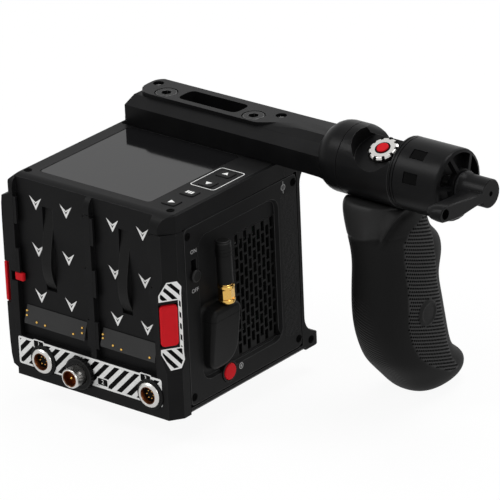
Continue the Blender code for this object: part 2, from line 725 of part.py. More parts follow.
def make_base_plate(metal):
    half_width = BASE_PLATE_WIDTH / 2
    half_length = BASE_PLATE_LENGTH / 2
    piece = block((-half_width, -half_length, 0), (half_width, half_length, BASE_PLATE_THICKNESS))
    cut(piece, rod("Z", (0, TRIPOD_HOLE_OFFSET), TRIPOD_HOLE_RADIUS, -GAP, BODY_HEIGHT, 20))
    cut(piece, rod("Z", (0, -TRIPOD_HOLE_OFFSET), STAND_HOLE_RADIUS, -GAP, BODY_HEIGHT, 20))
    place("base_plate", piece, metal)


def make_lens_mount(chrome, black, steel):
    rear = FLANGE_Y - MOUNT_THICKNESS
    centre = (0, LENS_Z)
    piece = ring("Y", centre, MOUNT_RADIUS, THROAT_RADIUS, rear, FLANGE_Y, 40)
    steps = 6
    for turn_index in range(3):
        middle = pi / 2 + turn_index * 2 * pi / 3
        outer = []
        inner = []
        for step in range(steps + 1):
            angle = middle + BAYONET_ANGLE * (step / steps - 0.5)
            outer.append((cos(angle) * (THROAT_RADIUS + GAP), LENS_Z + sin(angle) * (THROAT_RADIUS + GAP)))
            near = THROAT_RADIUS - BAYONET_DEPTH
            inner.append((cos(angle) * near, LENS_Z + sin(angle) * near))
        join(piece, prism("Y", outer + inner[::-1], rear + MOUNT_THICKNESS / 4,
                          FLANGE_Y - MOUNT_THICKNESS / 4))
    pin_x = lock_pin_x()
    cut(piece, rod("Y", (pin_x, LENS_Z), LOCK_PIN_RADIUS + RUN, WALL_FRONT, FRONT_Y + GAP, 12))
    place("lens_mount_ring", piece, chrome)
    pin = rod("Y", (pin_x, LENS_Z), LOCK_PIN_RADIUS, WALL_FRONT + RUN, FLANGE_Y + LOCK_PIN_PROUD, 12)
    place("lens_lock_pin", pin, steel, (pin_x, WALL_FRONT, LENS_Z))
    x = lens_release_x()
    start = WALL_FRONT - LENS_RELEASE_PROUD
    outline = circle(x, LENS_Z, LENS_RELEASE_RADIUS, 16)
    button = prism("Y", outline, start, WALL_FRONT + LENS_RELEASE_PROUD, EDGE)
    place("lens_release_button", button, black, (x, WALL_FRONT, LENS_Z))


def make_sensor(board, glass):
    front = WALL_BACK - GAP
    half = SENSOR_BLOCK_WIDTH / 2
    low = LENS_Z - SENSOR_BLOCK_HEIGHT / 2
    piece = block((-half, front - SENSOR_BLOCK_DEPTH, low), (half, front, low + SENSOR_BLOCK_HEIGHT))
    width = SENSOR_WIDTH / 2
    height = SENSOR_HEIGHT / 2
    pocket = rectangle(-width - GAP, LENS_Z - height - GAP, width + GAP, LENS_Z + height + GAP)
    floor = SENSOR_Y - SENSOR_GLASS - GAP
    cut(piece, prism("Y", pocket, floor, FRONT_Y))
    place("sensor_block", piece, board)
    cover = rectangle(-width, LENS_Z - height, width, LENS_Z + height)
    place("sensor_glass", prism("Y", cover, SENSOR_Y - SENSOR_GLASS, SENSOR_Y), glass)


def cover_outline():
    """The top cover seen from above, with the cut right rear corner."""
    front = WALL_BACK - GAP
    return rounded([
        (-HALF_WIDTH, REAR_Y, COVER_LEFT_CORNER),
        (HALF_WIDTH - COVER_CUT, REAR_Y, COVER_CORNER),
        (HALF_WIDTH, REAR_Y + CHAMFER_SIDE, COVER_CORNER),
        (HALF_WIDTH, front, 0),
        (-HALF_WIDTH, front, 0),
    ], 3)


def button_places():
    return [(BUTTON_X, BUTTON_FIRST_Y + index * BUTTON_PITCH) for index in range(4)]


def button_outline(x, y, clearance):
    half_x = BUTTON_WIDTH / 2 + clearance
    half_y = BUTTON_LENGTH / 2 + clearance
    return rectangle(x - half_x, y - half_y, x + half_x, y + half_y, BUTTON_CORNER, 3)


def make_top(black, rubber, glass, display):
    piece = prism("Z", cover_outline(), COVER_UNDER, BODY_HEIGHT, EDGE)
    outside = [(REAR_Y + COVER_REAR_ROUND, BODY_HEIGHT + EDGE), (REAR_Y - EDGE, BODY_HEIGHT + EDGE)]
    outside.append((REAR_Y - EDGE, BODY_HEIGHT - COVER_REAR_ROUND))
    steps = 8
    for step in range(steps + 1):
        angle = pi / 2 * step / steps
        outside.append((REAR_Y + COVER_REAR_ROUND * (1 - cos(angle)),
                        BODY_HEIGHT - COVER_REAR_ROUND * (1 - sin(angle))))
    cut(piece, prism("X", outside, -BODY_WIDTH, BODY_WIDTH))
    for left, right in bays():
        cut(piece, block((left, REAR_Y - EDGE, COVER_UNDER - GAP), (right, BAY_FLOOR, BODY_HEIGHT + GAP)))
    drop = COVER_SIDE_CHAMFER
    slope = [(-HALF_WIDTH - drop, BODY_HEIGHT - 2 * drop), (-HALF_WIDTH + drop, BODY_HEIGHT),
             (-HALF_WIDTH + drop, BODY_HEIGHT + drop), (-HALF_WIDTH - drop, BODY_HEIGHT + drop)]
    cut(piece, prism("Y", slope, -BODY_LENGTH, BODY_LENGTH))
    glass_top = BODY_HEIGHT - GLASS_RECESS
    glass_low = glass_top - GLASS_THICKNESS
    display_top = glass_low - GAP
    pocket_floor = display_top - DISPLAY_THICKNESS - GAP
    pocket = rectangle(SCREEN_LEFT - GAP, SCREEN_REAR - GAP, SCREEN_RIGHT + GAP, SCREEN_FRONT + GAP,
                       SCREEN_CORNER)
    cut(piece, prism("Z", pocket, pocket_floor, BODY_HEIGHT + GAP))
    depth = BUTTON_BODY + BUTTON_TRAVEL + RUN
    for x, y in button_places():
        cut(piece, prism("Z", button_outline(x, y, RUN), BODY_HEIGHT - depth, BODY_HEIGHT + GAP))
    place("top_cover", piece, black)
    cover = rectangle(SCREEN_LEFT, SCREEN_REAR, SCREEN_RIGHT, SCREEN_FRONT, SCREEN_CORNER)
    place("screen_glass", prism("Z", cover, glass_low, glass_top), glass)
    panel = rectangle(SCREEN_LEFT + DISPLAY_BORDER, SCREEN_REAR + DISPLAY_BORDER,
                      SCREEN_RIGHT - DISPLAY_BORDER, SCREEN_FRONT - DISPLAY_BORDER)
    place("display_panel", prism("Z", panel, display_top - DISPLAY_THICKNESS, display_top), display)
    names = ("play_button", "select_button", "down_button", "up_button")
    for name, (x, y) in zip(names, button_places()):
        low = BODY_HEIGHT - BUTTON_BODY
        button = prism("Z", button_outline(x, y, 0), low, BODY_HEIGHT + BUTTON_PROUD, BUTTON_PROUD / 2)
        place(name, button, rubber, (x, y, BODY_HEIGHT))


def rear_outline():
    corner = REAR_Y + CHAMFER_SIDE
    lip = PANEL_REAR - GAP
    return [(-HALF_WIDTH, REAR_Y), (HALF_WIDTH - CHAMFER_REAR, REAR_Y), (HALF_WIDTH, corner),
            (HALF_WIDTH, lip), (PANEL_INNER - GAP, lip), (PANEL_INNER - GAP, REAR_INNER),
            (-PANEL_INNER + GAP, REAR_INNER), (-PANEL_INNER + GAP, lip), (-HALF_WIDTH, lip)]


def bays():
    """Left and right edges of the two battery bays."""
    left = -HALF_WIDTH + LEFT_RAIL
    right = HALF_WIDTH - CHAMFER_REAR - RIGHT_RAIL
    return (left, -RIB_WIDTH / 2), (RIB_WIDTH / 2, right)


def spring_places():
    return [left + (right - left) * share for (left, right), share in zip(bays(), SPRING_PLACES)]


def chamfer_frame(piece):
    """Carry a piece drawn in a plain frame onto the cut right rear corner: X along it, Y into it."""
    piece.data.transform(Matrix.Translation((RECESS_X, REAR_Y, 0)) @ Matrix.Rotation(CHAMFER_ANGLE, 4, 'Z'))
    return piece


def make_rear(black):
    piece = prism("Z", rear_outline(), 0, PANEL_HIGH)
    root = -HALF_WIDTH + 2 * EDGE
    middle = (BULGE_LOW_Z + BULGE_HIGH_Z) / 2
    half = (BULGE_HIGH_Z - BULGE_LOW_Z) / 2
    bulge = [(root, BULGE_HIGH_Z), (root, BULGE_LOW_Z)]
    steps = 12
    for step in range(steps + 1):
        lift = -cos(pi * step / steps)
        power = BULGE_TOP_SQUARENESS if lift > 0 else BULGE_SQUARENESS
        swell = max(0, 1 - abs(lift) ** power) ** (1 / power)
        bulge.append((-HALF_WIDTH - BULGE_WIDTH * swell, middle + half * lift))
    face = REAR_Y + HOOK_SETBACK
    join(piece, prism("Y", bulge, REAR_Y + BULGE_DEPTH, face))
    reach = 4 * CORNER_RECESS
    rise = reach * CORNER_SLOPE / CORNER_RECESS
    shelf = [(0, CORNER_RECESS_LOW_Z), (0, CORNER_RECESS_HIGH_Z), (-reach, CORNER_RECESS_HIGH_Z + rise),
             (-reach, CORNER_RECESS_LOW_Z - rise)]
    cut(piece, chamfer_frame(prism("X", shelf, -reach, 3 * reach)))
    for left, right in bays():
        cut(piece, block((left, REAR_Y - BULGE_DEPTH, FOOT_HEIGHT), (right, BAY_FLOOR, BODY_HEIGHT)))
        for index in range(3):
            middle = HOOK_LAST_Z - index * HOOK_PITCH
            for edge, side in ((left, 1), (right, -1)):
                if index == 2 and abs(edge) > RIB_WIDTH:
                    continue
                near = edge - side * EDGE
                far = edge + side * HOOK_REACH
                low = (min(near, far), face, middle - HOOK_LENGTH / 2)
                high = (max(near, far), face + HOOK_THICKNESS, middle + HOOK_LENGTH / 2)
                join(piece, block(low, high))
    for x in spring_places():
        half = SPRING_WIDTH / 2 + GAP
        slot_floor = BAY_FLOOR + SPRING_SLOT_DEPTH
        cut(piece, block((x - half, REAR_Y, SPRING_LOW_Z - GAP),
                         (x + half, slot_floor, SPRING_HIGH_Z + GAP)))
    for x in (LEFT_SOCKET_X, RIGHT_SOCKET_X):
        cut(piece, rod("Y", (x, SOCKET_Z), SOCKET_RADIUS + GAP, REAR_Y - GAP, REAR_Y + SOCKET_SUNK + GAP,
                       24))
    cut(piece, rod("Y", (COAX_X, SOCKET_Z), COAX_RADIUS + GAP, REAR_Y - GAP, REAR_Y + COAX_SUNK + GAP, 24))
    sunk = RELEASE_SUNK + RELEASE_TRAVEL + RUN
    near = RELEASE_SETBACK - RUN
    pocket = block((near, -sunk, RELEASE_LOW_Z - RUN), (near + RELEASE_WIDTH + 2 * RUN, sunk,
                                                        RELEASE_HIGH_Z + RUN))
    cut(piece, chamfer_frame(pocket))
    outer = -HALF_WIDTH - BULGE_WIDTH
    end = face + LEFT_RELEASE_DEPTH + RUN
    start = REAR_Y - LEFT_RELEASE_DEPTH
    cut(piece, block((outer - sunk, start, RELEASE_LOW_Z - RUN), (outer + sunk, end, RELEASE_HIGH_Z + RUN)))
    for (low, high), rear in ((left_tab(TAB_TRAVEL + RUN), EDGE), (right_tab(TAB_TRAVEL + RUN), RUN)):
        grown_low = (low[0], low[1] - rear, low[2] - RUN)
        grown_high = (high[0], high[1] + RUN, high[2] + RUN)
        cut(piece, block(grown_low, grown_high))
    place("rear_housing", piece, black)


def left_tab(room):
    """Corners of the left latch tab, or of its slot when it is given room to draw back."""
    edge = bays()[0][0]
    rear = REAR_Y + RUN
    low = (edge - TAB_ROOT - room, rear, LEFT_TAB_Z - TAB_HEIGHT / 2)
    return low, (edge + TAB_REACH, rear + TAB_DEPTH, LEFT_TAB_Z + TAB_HEIGHT / 2)


def right_tab(room):
    edge = bays()[1][1]
    rear = REAR_Y + RIGHT_TAB_SETBACK
    low = (edge - RIGHT_TAB_REACH, rear, RIGHT_TAB_Z - TAB_HEIGHT / 2)
    return low, (edge + RIGHT_TAB_ROOT + room, rear + RIGHT_TAB_DEPTH, RIGHT_TAB_Z + TAB_HEIGHT / 2)


def make_releases(red):
    right = RELEASE_SETBACK + RELEASE_WIDTH
    outline = rectangle(RELEASE_SETBACK, RELEASE_LOW_Z, right, RELEASE_HIGH_Z, 2 * EDGE, 2)
    piece = prism("Y", outline, RELEASE_SUNK, -RELEASE_PROUD, EDGE, 2)
    chamfer_frame(piece)
    middle = RELEASE_SETBACK + RELEASE_WIDTH / 2
    origin = (RECESS_X + middle * cos(CHAMFER_ANGLE), REAR_Y + middle * sin(CHAMFER_ANGLE),
              (RELEASE_LOW_Z + RELEASE_HIGH_Z) / 2)
    place("release_right", piece, red, origin)
    outer = -HALF_WIDTH - BULGE_WIDTH
    start = REAR_Y + HOOK_SETBACK
    outline = rectangle(start, RELEASE_LOW_Z, start + LEFT_RELEASE_DEPTH, RELEASE_HIGH_Z, EDGE, 2)
    piece = prism("X", outline, outer + RELEASE_SUNK, outer - LEFT_RELEASE_PROUD, EDGE / 2)
    place("release_left", piece, red, (outer, start, (RELEASE_LOW_Z + RELEASE_HIGH_Z) / 2))
    for name, (low, high) in (("latch_tab_left", left_tab(0)), ("latch_tab_right", right_tab(0))):
        place(name, block(low, high, EDGE / 2), red, low)


def make_bay_fittings(spring_steel, contact_black):
    """The leaf spring and the sloped contact block of each bay."""
    steps = 14
    length = SPRING_HIGH_Z - SPRING_LOW_Z
    for side, x, bay, margin in zip(("left", "right"), spring_places(), bays(), CONTACT_RIGHT_MARGINS):
        back = []
        front = []
        for step in range(steps + 1):
            share = step / steps
            bow = SPRING_BOW * sin(pi * share ** 0.62) ** 1.5
            y = BAY_FLOOR + SPRING_SLOT_DEPTH - GAP - bow
            z = SPRING_LOW_Z + length * share
            back.append((y, z))
            front.append((y - SPRING_THICKNESS, z))
        half = SPRING_WIDTH / 2
        place("bay_spring_" + side, prism("X", back + front[::-1], x - half, x + half), spring_steel)
        floor = BAY_FLOOR - GAP
        wedge = [(floor, CONTACT_LOW_Z), (floor, CONTACT_HIGH_Z),
                 (floor - CONTACT_REACH, CONTACT_LOW_Z + CONTACT_LIP),
                 (floor - CONTACT_REACH, CONTACT_LOW_Z)]
        contact = prism("X", wedge, bay[0] + CONTACT_LEFT_MARGIN, bay[1] - margin)
        place("contact_block_" + side, contact, contact_black)


def make_sockets(chrome, black):
    for name, x in (("round_socket_left", LEFT_SOCKET_X), ("round_socket_right", RIGHT_SOCKET_X)):
        rear = REAR_Y - SOCKET_PROUD
        inner = REAR_Y + SOCKET_SUNK
        profile = [(inner, SOCKET_RADIUS), (rear + EDGE, SOCKET_RADIUS), (rear, SOCKET_RADIUS - EDGE),
                   (rear, SOCKET_BORE), (inner - EDGE, SOCKET_BORE), (inner - EDGE, EDGE), (inner, EDGE)]
        piece = turned("Y", (x, SOCKET_Z), profile, 20, tube=True)
        place(name, piece, chrome)
    front = REAR_Y - GAP
    flange = ring("Y", (COAX_X, SOCKET_Z), COAX_FLANGE_RADIUS, COAX_RADIUS + GAP,
                  front - COAX_FLANGE_THICKNESS, front)
    place("coax_flange", flange, black)
    end = REAR_Y - COAX_PROUD
    inner = REAR_Y + COAX_SUNK
    profile = [(inner, COAX_RADIUS), (end + EDGE, COAX_RADIUS), (end, COAX_RADIUS - EDGE / 2),
               (end, COAX_BORE),
               (inner - COAX_SUNK, COAX_BORE), (inner - COAX_SUNK, EDGE), (inner, EDGE)]
    place("coax_socket", turned("Y", (COAX_X, SOCKET_Z), profile, 24, tube=True), chrome)


def side_panel(side):
    """A plain side panel with rounded corners, before its openings are cut."""
    outline = rectangle(PANEL_REAR, PANEL_LOW, PANEL_FRONT, PANEL_HIGH, PANEL_CORNER, 3)
    return prism("X", outline, side * PANEL_INNER, side * HALF_WIDTH, EDGE / 2)


def make_right_side(black, grille_black, red, steel):
    piece = side_panel(1)
    vent = rectangle(VENT_REAR_Y - GAP, VENT_LOW_Z - GAP, VENT_FRONT_Y + GAP, VENT_HIGH_Z + GAP,
                     VENT_CORNER, 2)
    cut(piece, prism("X", vent, PANEL_INNER - GAP, HALF_WIDTH + GAP))
    recess = rectangle(RECESS_REAR_Y, RECESS_LOW_Z, RECESS_FRONT_Y, RECESS_HIGH_Z, RECESS_CORNER, 5)
    floor = [at("X", u, v, RECESS_FLOOR) for u, v in recess]
    rim = [at("X", u, v, HALF_WIDTH + GAP) for u, v in shrunk(recess, -RECESS_DRAFT)]
    cut(piece, loft([floor, rim]))
    hole = RECORD_RADIUS + RECORD_RING + RUN + GAP
    cut(piece, rod("X", (RECORD_Y, RECORD_Z), hole, PANEL_INNER - GAP, HALF_WIDTH + GAP, 24))
    slot_half = POWER_STEM + RUN
    slot = rectangle(POWER_Y - slot_half, POWER_Z - slot_half, POWER_Y + slot_half,
                     POWER_Z + POWER_TRAVEL + slot_half)
    cut(piece, prism("X", slot, PANEL_INNER - GAP, HALF_WIDTH + GAP))
    place("right_side_panel", piece, black)
    outer = RECORD_RADIUS + RECORD_RING + RUN
    proud = HALF_WIDTH + RECORD_PROUD / 2
    bezel = ring("X", (RECORD_Y, RECORD_Z), outer, RECORD_RADIUS + RUN, PANEL_INNER + GAP, proud)
    place("record_ring", bezel, steel)
    button = prism("X", circle(RECORD_Y, RECORD_Z, RECORD_RADIUS, 24), PANEL_INNER + RECORD_TRAVEL,
                   HALF_WIDTH + RECORD_PROUD, EDGE / 2)
    place("record_button", button, red, (HALF_WIDTH, RECORD_Y, RECORD_Z))
    knob = prism("X", circle(POWER_Y, POWER_Z, POWER_RADIUS, 20), HALF_WIDTH + RUN,
                 HALF_WIDTH + RUN + POWER_PROUD, EDGE / 2)
    stem = rectangle(POWER_Y - POWER_STEM, POWER_Z - POWER_STEM, POWER_Y + POWER_STEM, POWER_Z + POWER_STEM)
    join(knob, prism("X", stem, PANEL_INNER, HALF_WIDTH + POWER_PROUD / 2))
    place("power_slider", knob, black, (HALF_WIDTH, POWER_Y, POWER_Z))
    make_vent_grille(grille_black)


def make_vent_grille(material):
    """A plate of tall slots, every other column half a slot lower, so that the bridges are staggered."""
    outer_x = RECESS_FLOOR - VENT_RECESS
    faces = (outer_x - VENT_THICKNESS, outer_x)
    step_y = (VENT_FRONT_Y - VENT_REAR_Y) / VENT_COLUMNS
    step_z = (VENT_HIGH_Z - VENT_LOW_Z) / (2 * VENT_ROWS)
    shape = bmesh.new()
    grid = {}
    for column in range(VENT_COLUMNS + 1):
        for level in range(2 * VENT_ROWS + 1):
            y = VENT_REAR_Y + column * step_y
            z = VENT_LOW_Z + level * step_z
            grid[column, level] = [shape.verts.new((x, y, z)) for x in faces]

    def cell(column, level):
        low_left, low_right, side_right, high_right, high_left, side_left = (
            grid[column + right, level + up] for right, up in ((0, 0), (1, 0), (1, 1), (1, 2), (0, 2),
                                                               (0, 1)))
        middle_y = VENT_REAR_Y + (column + 0.5) * step_y
        middle_z = VENT_LOW_Z + (level + 1) * step_z
        half_y = step_y / 2 - VENT_WALL
        half_z = step_z - VENT_BRIDGE
        corners = [(-half_y, -half_z), (half_y, -half_z), (half_y, half_z), (-half_y, half_z)]
        slot = [[shape.verts.new((x, middle_y + u, middle_z + v)) for x in faces] for u, v in corners]
        rims = [(low_left, low_right, slot[1], slot[0]),
                (low_right, side_right, high_right, slot[2], slot[1]),
                (high_right, high_left, slot[3], slot[2]),
                (high_left, side_left, low_left, slot[0], slot[3])]
        for rim in rims:
            for layer in (0, 1):
                shape.faces.new([corner[layer] for corner in rim])
        for here in range(4):
            there = (here + 1) % 4
            shape.faces.new((slot[here][0], slot[there][0], slot[there][1], slot[here][1]))

    def blank(column, level):
        around = [grid[column, level], grid[column + 1, level], grid[column + 1, level + 1],
                  grid[column, level + 1]]
        for layer in (0, 1):
            shape.faces.new([corner[layer] for corner in around])

    for column in range(VENT_COLUMNS):
        shift = column % 2
        for row in range(VENT_ROWS - shift):
            cell(column, 2 * row + shift)
        if shift:
            blank(column, 0)
            blank(column, 2 * VENT_ROWS - 1)
    rim = [grid[column, 0] for column in range(VENT_COLUMNS)]
    rim += [grid[VENT_COLUMNS, level] for level in range(2 * VENT_ROWS)]
    rim += [grid[column, 2 * VENT_ROWS] for column in range(VENT_COLUMNS, 0, -1)]
    rim += [grid[0, level] for level in range(2 * VENT_ROWS, 0, -1)]
    for here in range(len(rim)):
        there = (here + 1) % len(rim)
        shape.faces.new((rim[here][0], rim[there][0], rim[there][1], rim[here][1]))
    place("vent_grille", body(shape), material)


def make_aerial(black, gold):
    low = AERIAL_BASE_LOW_Z
    high = AERIAL_BASE_HIGH_Z
    width = AERIAL_BASE_FRONT_Y - AERIAL_BASE_REAR_Y
    outline = rounded([
        (AERIAL_BASE_REAR_Y, low, width / 4),
        (AERIAL_BASE_FRONT_Y, low, width / 2),
        (AERIAL_BASE_FRONT_Y, high, AERIAL_BASE_EDGE + EDGE),
        (AERIAL_BASE_REAR_Y, high, AERIAL_BASE_EDGE + EDGE),
    ], 5)
    start = RECESS_FLOOR + GAP
    piece = prism("X", outline, start, HALF_WIDTH + AERIAL_BASE_PROUD, AERIAL_BASE_EDGE, 4)
    place("antenna_base", piece, black)
    centre = (AERIAL_X, AERIAL_Y)
    foot = (AERIAL_X, AERIAL_Y, AERIAL_BASE_HIGH_Z)
    nut_top = AERIAL_Z + AERIAL_NUT_LENGTH
    collar_radius = AERIAL_NUT_RADIUS - EDGE / 2
    grip_low = AERIAL_Z + AERIAL_NUT_LENGTH / 5
    profile = [(AERIAL_Z + EDGE / 2, collar_radius), (grip_low, collar_radius),
               (grip_low, AERIAL_NUT_RADIUS),
               (nut_top - EDGE, AERIAL_NUT_RADIUS), (nut_top, collar_radius)]
    nut = turned("Z", centre, profile, 16)
    place("antenna_nut", turn(nut, 'X', AERIAL_TILT, foot), gold, foot)
    low = nut_top + GAP
    top = low + AERIAL_SLEEVE_LENGTH
    profile = [(low, AERIAL_SLEEVE_RADIUS), (top - EDGE, AERIAL_SLEEVE_RADIUS),
               (top, AERIAL_SLEEVE_RADIUS - EDGE)]
    sleeve = turned("Z", centre, profile, 20)
    place("antenna_sleeve", turn(sleeve, 'X', AERIAL_TILT, foot), black, foot)


def make_left_side(black, steel, board):
    half_door = PANEL_THICKNESS / 2
    pin_x = -HALF_WIDTH + half_door
    pin_y = DOOR_FRONT_Y - half_door
    pin_low = DOOR_LOW_Z - DOOR_PIN_ENGAGE
    pin_high = DOOR_HIGH_Z + DOOR_PIN_ENGAGE
    panel = side_panel(-1)
    opening = rectangle(DOOR_REAR_Y - RUN, DOOR_LOW_Z - RUN, DOOR_FRONT_Y + RUN, DOOR_HIGH_Z + RUN)
    cut(panel, prism("X", opening, -HALF_WIDTH - GAP, -PANEL_INNER + GAP))
    bore = DOOR_PIN_RADIUS + RUN
    cut(panel, rod("Z", (pin_x, pin_y), bore, pin_low - RUN, pin_high + RUN, 12))
    jacks = [JACK_FIRST_Z + index * JACK_PITCH for index in range(2)]
    for z in jacks:
        cut(panel, rod("X", (JACK_Y, z), JACK_RADIUS + GAP, -HALF_WIDTH - GAP, -PANEL_INNER + GAP, 20))
    place("left_side_panel", panel, black)
    steps = 6
    round_edge = [(pin_x + half_door * cos(pi * step / steps), pin_y + half_door * sin(pi * step / steps))
                  for step in range(steps + 1)]
    outline = round_edge + [(-HALF_WIDTH, DOOR_REAR_Y), (-PANEL_INNER, DOOR_REAR_Y)]
    door = prism("Z", outline, DOOR_LOW_Z, DOOR_HIGH_Z)
    cut(door, rod("Z", (pin_x, pin_y), bore, DOOR_LOW_Z - GAP, DOOR_HIGH_Z + GAP, 12))
    place("media_door", door, black, (pin_x, pin_y, (DOOR_LOW_Z + DOOR_HIGH_Z) / 2))
    place("door_pin", rod("Z", (pin_x, pin_y), DOOR_PIN_RADIUS, pin_low, pin_high, 12), steel)
    near = -PANEL_INNER + GAP
    reader = block((near, DOOR_REAR_Y, DOOR_LOW_Z), (near + READER_DEPTH, DOOR_FRONT_Y, DOOR_HIGH_Z))
    middle = (DOOR_REAR_Y + DOOR_FRONT_Y) / 2
    slot_low = (near - GAP, middle - READER_SLOT_WIDTH / 2, DOOR_LOW_Z + READER_MARGIN)
    slot_high = (near + READER_SLOT_DEPTH, middle + READER_SLOT_WIDTH / 2, DOOR_HIGH_Z - READER_MARGIN)
    place("card_reader", cut(reader, block(slot_low, slot_high)), board)
    outer = -HALF_WIDTH + JACK_RECESS
    inner = outer + JACK_LENGTH
    for name, z in zip(("audio_jack_low", "audio_jack_high"), jacks):
        profile = [(outer, JACK_RADIUS), (inner, JACK_RADIUS), (inner, EDGE / 2), (inner - EDGE, EDGE / 2),
                   (inner - EDGE, JACK_BORE), (outer, JACK_BORE)]
        place(name, turned("X", (JACK_Y, z), profile, 14, tube=True), board)


def make_cooling(plastic, metal, board):
    """Fan behind the vent, finned heat sink beside it and the main board that the sink sits on."""
    half = FAN_SIZE / 2
    centre = (FAN_Y, FAN_Z)
    bore = half - FAN_BORE_WALL
    frame = block((FAN_LEFT_X, FAN_Y - half, FAN_Z - half), (FAN_RIGHT_X, FAN_Y + half, FAN_Z + half))
    cut(frame, rod("X", centre, bore, FAN_LEFT_X + FAN_WEB, FAN_RIGHT_X + GAP, 32))
    windows = rod("X", centre, bore - FAN_BORE_WALL, FAN_LEFT_X - GAP, FAN_LEFT_X + 2 * FAN_WEB, 32)
    cut(windows, rod("X", centre, FAN_HUB_RADIUS, FAN_LEFT_X - FAN_WEB, FAN_RIGHT_X, 16))
    arm = FAN_ARM / 2
    cut(windows, block((FAN_LEFT_X - FAN_WEB, FAN_Y - half, FAN_Z - arm),
                       (FAN_RIGHT_X, FAN_Y + half, FAN_Z + arm)))
    cut(windows, block((FAN_LEFT_X - FAN_WEB, FAN_Y - arm, FAN_Z - half),
                       (FAN_RIGHT_X, FAN_Y + arm, FAN_Z + half)))
    cut(frame, windows)
    join(frame, rod("X", centre, FAN_AXLE_RADIUS, FAN_LEFT_X + FAN_WEB / 2, FAN_RIGHT_X - FAN_WEB, 12))
    place("fan_frame", frame, plastic)
    rotor_left = FAN_LEFT_X + FAN_WEB + RUN
    rotor_right = FAN_RIGHT_X - RUN
    rotor = ring("X", centre, FAN_HUB_RADIUS, FAN_AXLE_RADIUS + RUN, rotor_left, rotor_right, 21)
    middle = (rotor_left + rotor_right) / 2
    span = (rotor_right - rotor_left) * 0.45
    tip = bore - FAN_TIP_GAP
    thick = FAN_BLADE_THICKNESS / 2
    for index in range(FAN_BLADES):
        rings = []
        for radius, twist in ((FAN_HUB_RADIUS - EDGE, FAN_BLADE_PITCH), (tip, FAN_BLADE_PITCH * 1.3)):
            ring_points = []
            for along, across in ((-span, -thick), (span, -thick), (span, thick), (-span, thick)):
                x = along * cos(twist) - across * sin(twist)
                offset = along * sin(twist) + across * cos(twist)
                ring_points.append((x, offset, sqrt(radius ** 2 - offset ** 2)))
            rings.append([Vector((middle + x, FAN_Y + o, FAN_Z + r)) for x, o, r in ring_points])
        blade = loft(rings)
        join(rotor, turn(blade, 'X', 2 * pi * index / FAN_BLADES, (middle, FAN_Y, FAN_Z)))
    place("fan_rotor", rotor, plastic, (middle, FAN_Y, FAN_Z))
    rear = FAN_Y - half
    low = FAN_Z - SINK_HEIGHT / 2
    pitch = (SINK_HEIGHT - SINK_FIN) / (SINK_FINS - 1)
    comb = [(rear, low + SINK_HEIGHT), (rear, low)]
    for index in range(SINK_FINS):
        start = low + index * pitch
        comb += [(rear + SINK_DEPTH, start), (rear + SINK_DEPTH, start + SINK_FIN)]
        if index < SINK_FINS - 1:
            comb += [(rear + SINK_BASE, start + SINK_FIN), (rear + SINK_BASE, start + pitch)]
    right = FAN_LEFT_X - GAP
    place("heat_sink", prism("X", comb, right - SINK_LENGTH, right), metal)
    board_y = rear - GAP
    left = -PANEL_INNER + READER_DEPTH + BOARD_MARGIN
    board_low = (left, board_y - BOARD_THICKNESS, FLOOR_HEIGHT + GAP)
    board_high = (PANEL_INNER - BOARD_MARGIN, board_y, COVER_UNDER - BOARD_MARGIN)
    place("main_board", block(board_low, board_high), board)


def beam_profile():
    """The beam's section in (Y, Z): flat below, with a raised plate and a sloped shoulder behind it."""
    return [(BEAM_REAR_Y, BEAM_BASE), (BEAM_FRONT_Y, BEAM_BASE), (BEAM_FRONT_Y, BEAM_TOP - EDGE),
            (BEAM_FRONT_Y - EDGE, BEAM_TOP), (PLATE_REAR_Y, BEAM_TOP), (PLATE_REAR_Y, BEAM_TOP - BEAM_STEP),
            (BEAM_REAR_Y, BEAM_BASE + BEAM_SHOULDER)]


def beam_reach(angle):
    """How far the beam's section reaches from the knuckle's axis in one direction."""
    corners = [(y - PIVOT_Y, z - PIVOT_Z) for y, z in beam_profile()]
    ray = (cos(angle), sin(angle))
    best = 0
    for index, (y1, z1) in enumerate(corners):
        y0, z0 = corners[index - 1]
        edge = (y1 - y0, z1 - z0)
        across = ray[0] * edge[1] - ray[1] * edge[0]
        if abs(across) < 1e-12:
            continue
        share = (y0 * ray[1] - z0 * ray[0]) / across
        reach = (y0 * edge[1] - z0 * edge[0]) / across
        if -1e-9 <= share <= 1 + 1e-9 and reach > best:
            best = reach
    return best


def beam_angles():
    """Directions for the beam's rings: its corners, and steps between them."""
    corners = [atan2(z - PIVOT_Z, y - PIVOT_Y) for y, z in beam_profile()]
    angles = list(corners)
    steps = 24
    for step in range(steps):
        angle = -pi + 2 * pi * (step + 0.5) / steps
        if min(abs(angle - corner) for corner in corners) > pi / steps / 1.5:
            angles.append(angle)
    return sorted(angles)


def blend(low, high, value):
    share = min(1, max(0, (value - low) / (high - low)))
    return share * share * (3 - 2 * share)


def beam_ring(x, angles):
    """The beam's section at one place: plain along the camera, swelling to a circle at the knuckle."""
    low = (x - BEAM_RIGHT_X) / (KNUCKLE_CENTRE_X - KNUCKLE_SWELL / 8 - BEAM_RIGHT_X)
    low = min(1, max(0, low)) ** NECK_LAG
    high = blend(KNUCKLE_CENTRE_X - KNUCKLE_SWELL / 2, KNUCKLE_CENTRE_X, x)
    points = []
    for angle in angles:
        share = high + (low - high) * (1 - sin(angle)) / 2
        reach = beam_reach(angle) * (1 - share) + (KNUCKLE_RADIUS - EDGE) * share
        points.append(Vector((x, PIVOT_Y + reach * cos(angle), PIVOT_Z + reach * sin(angle))))
    return points


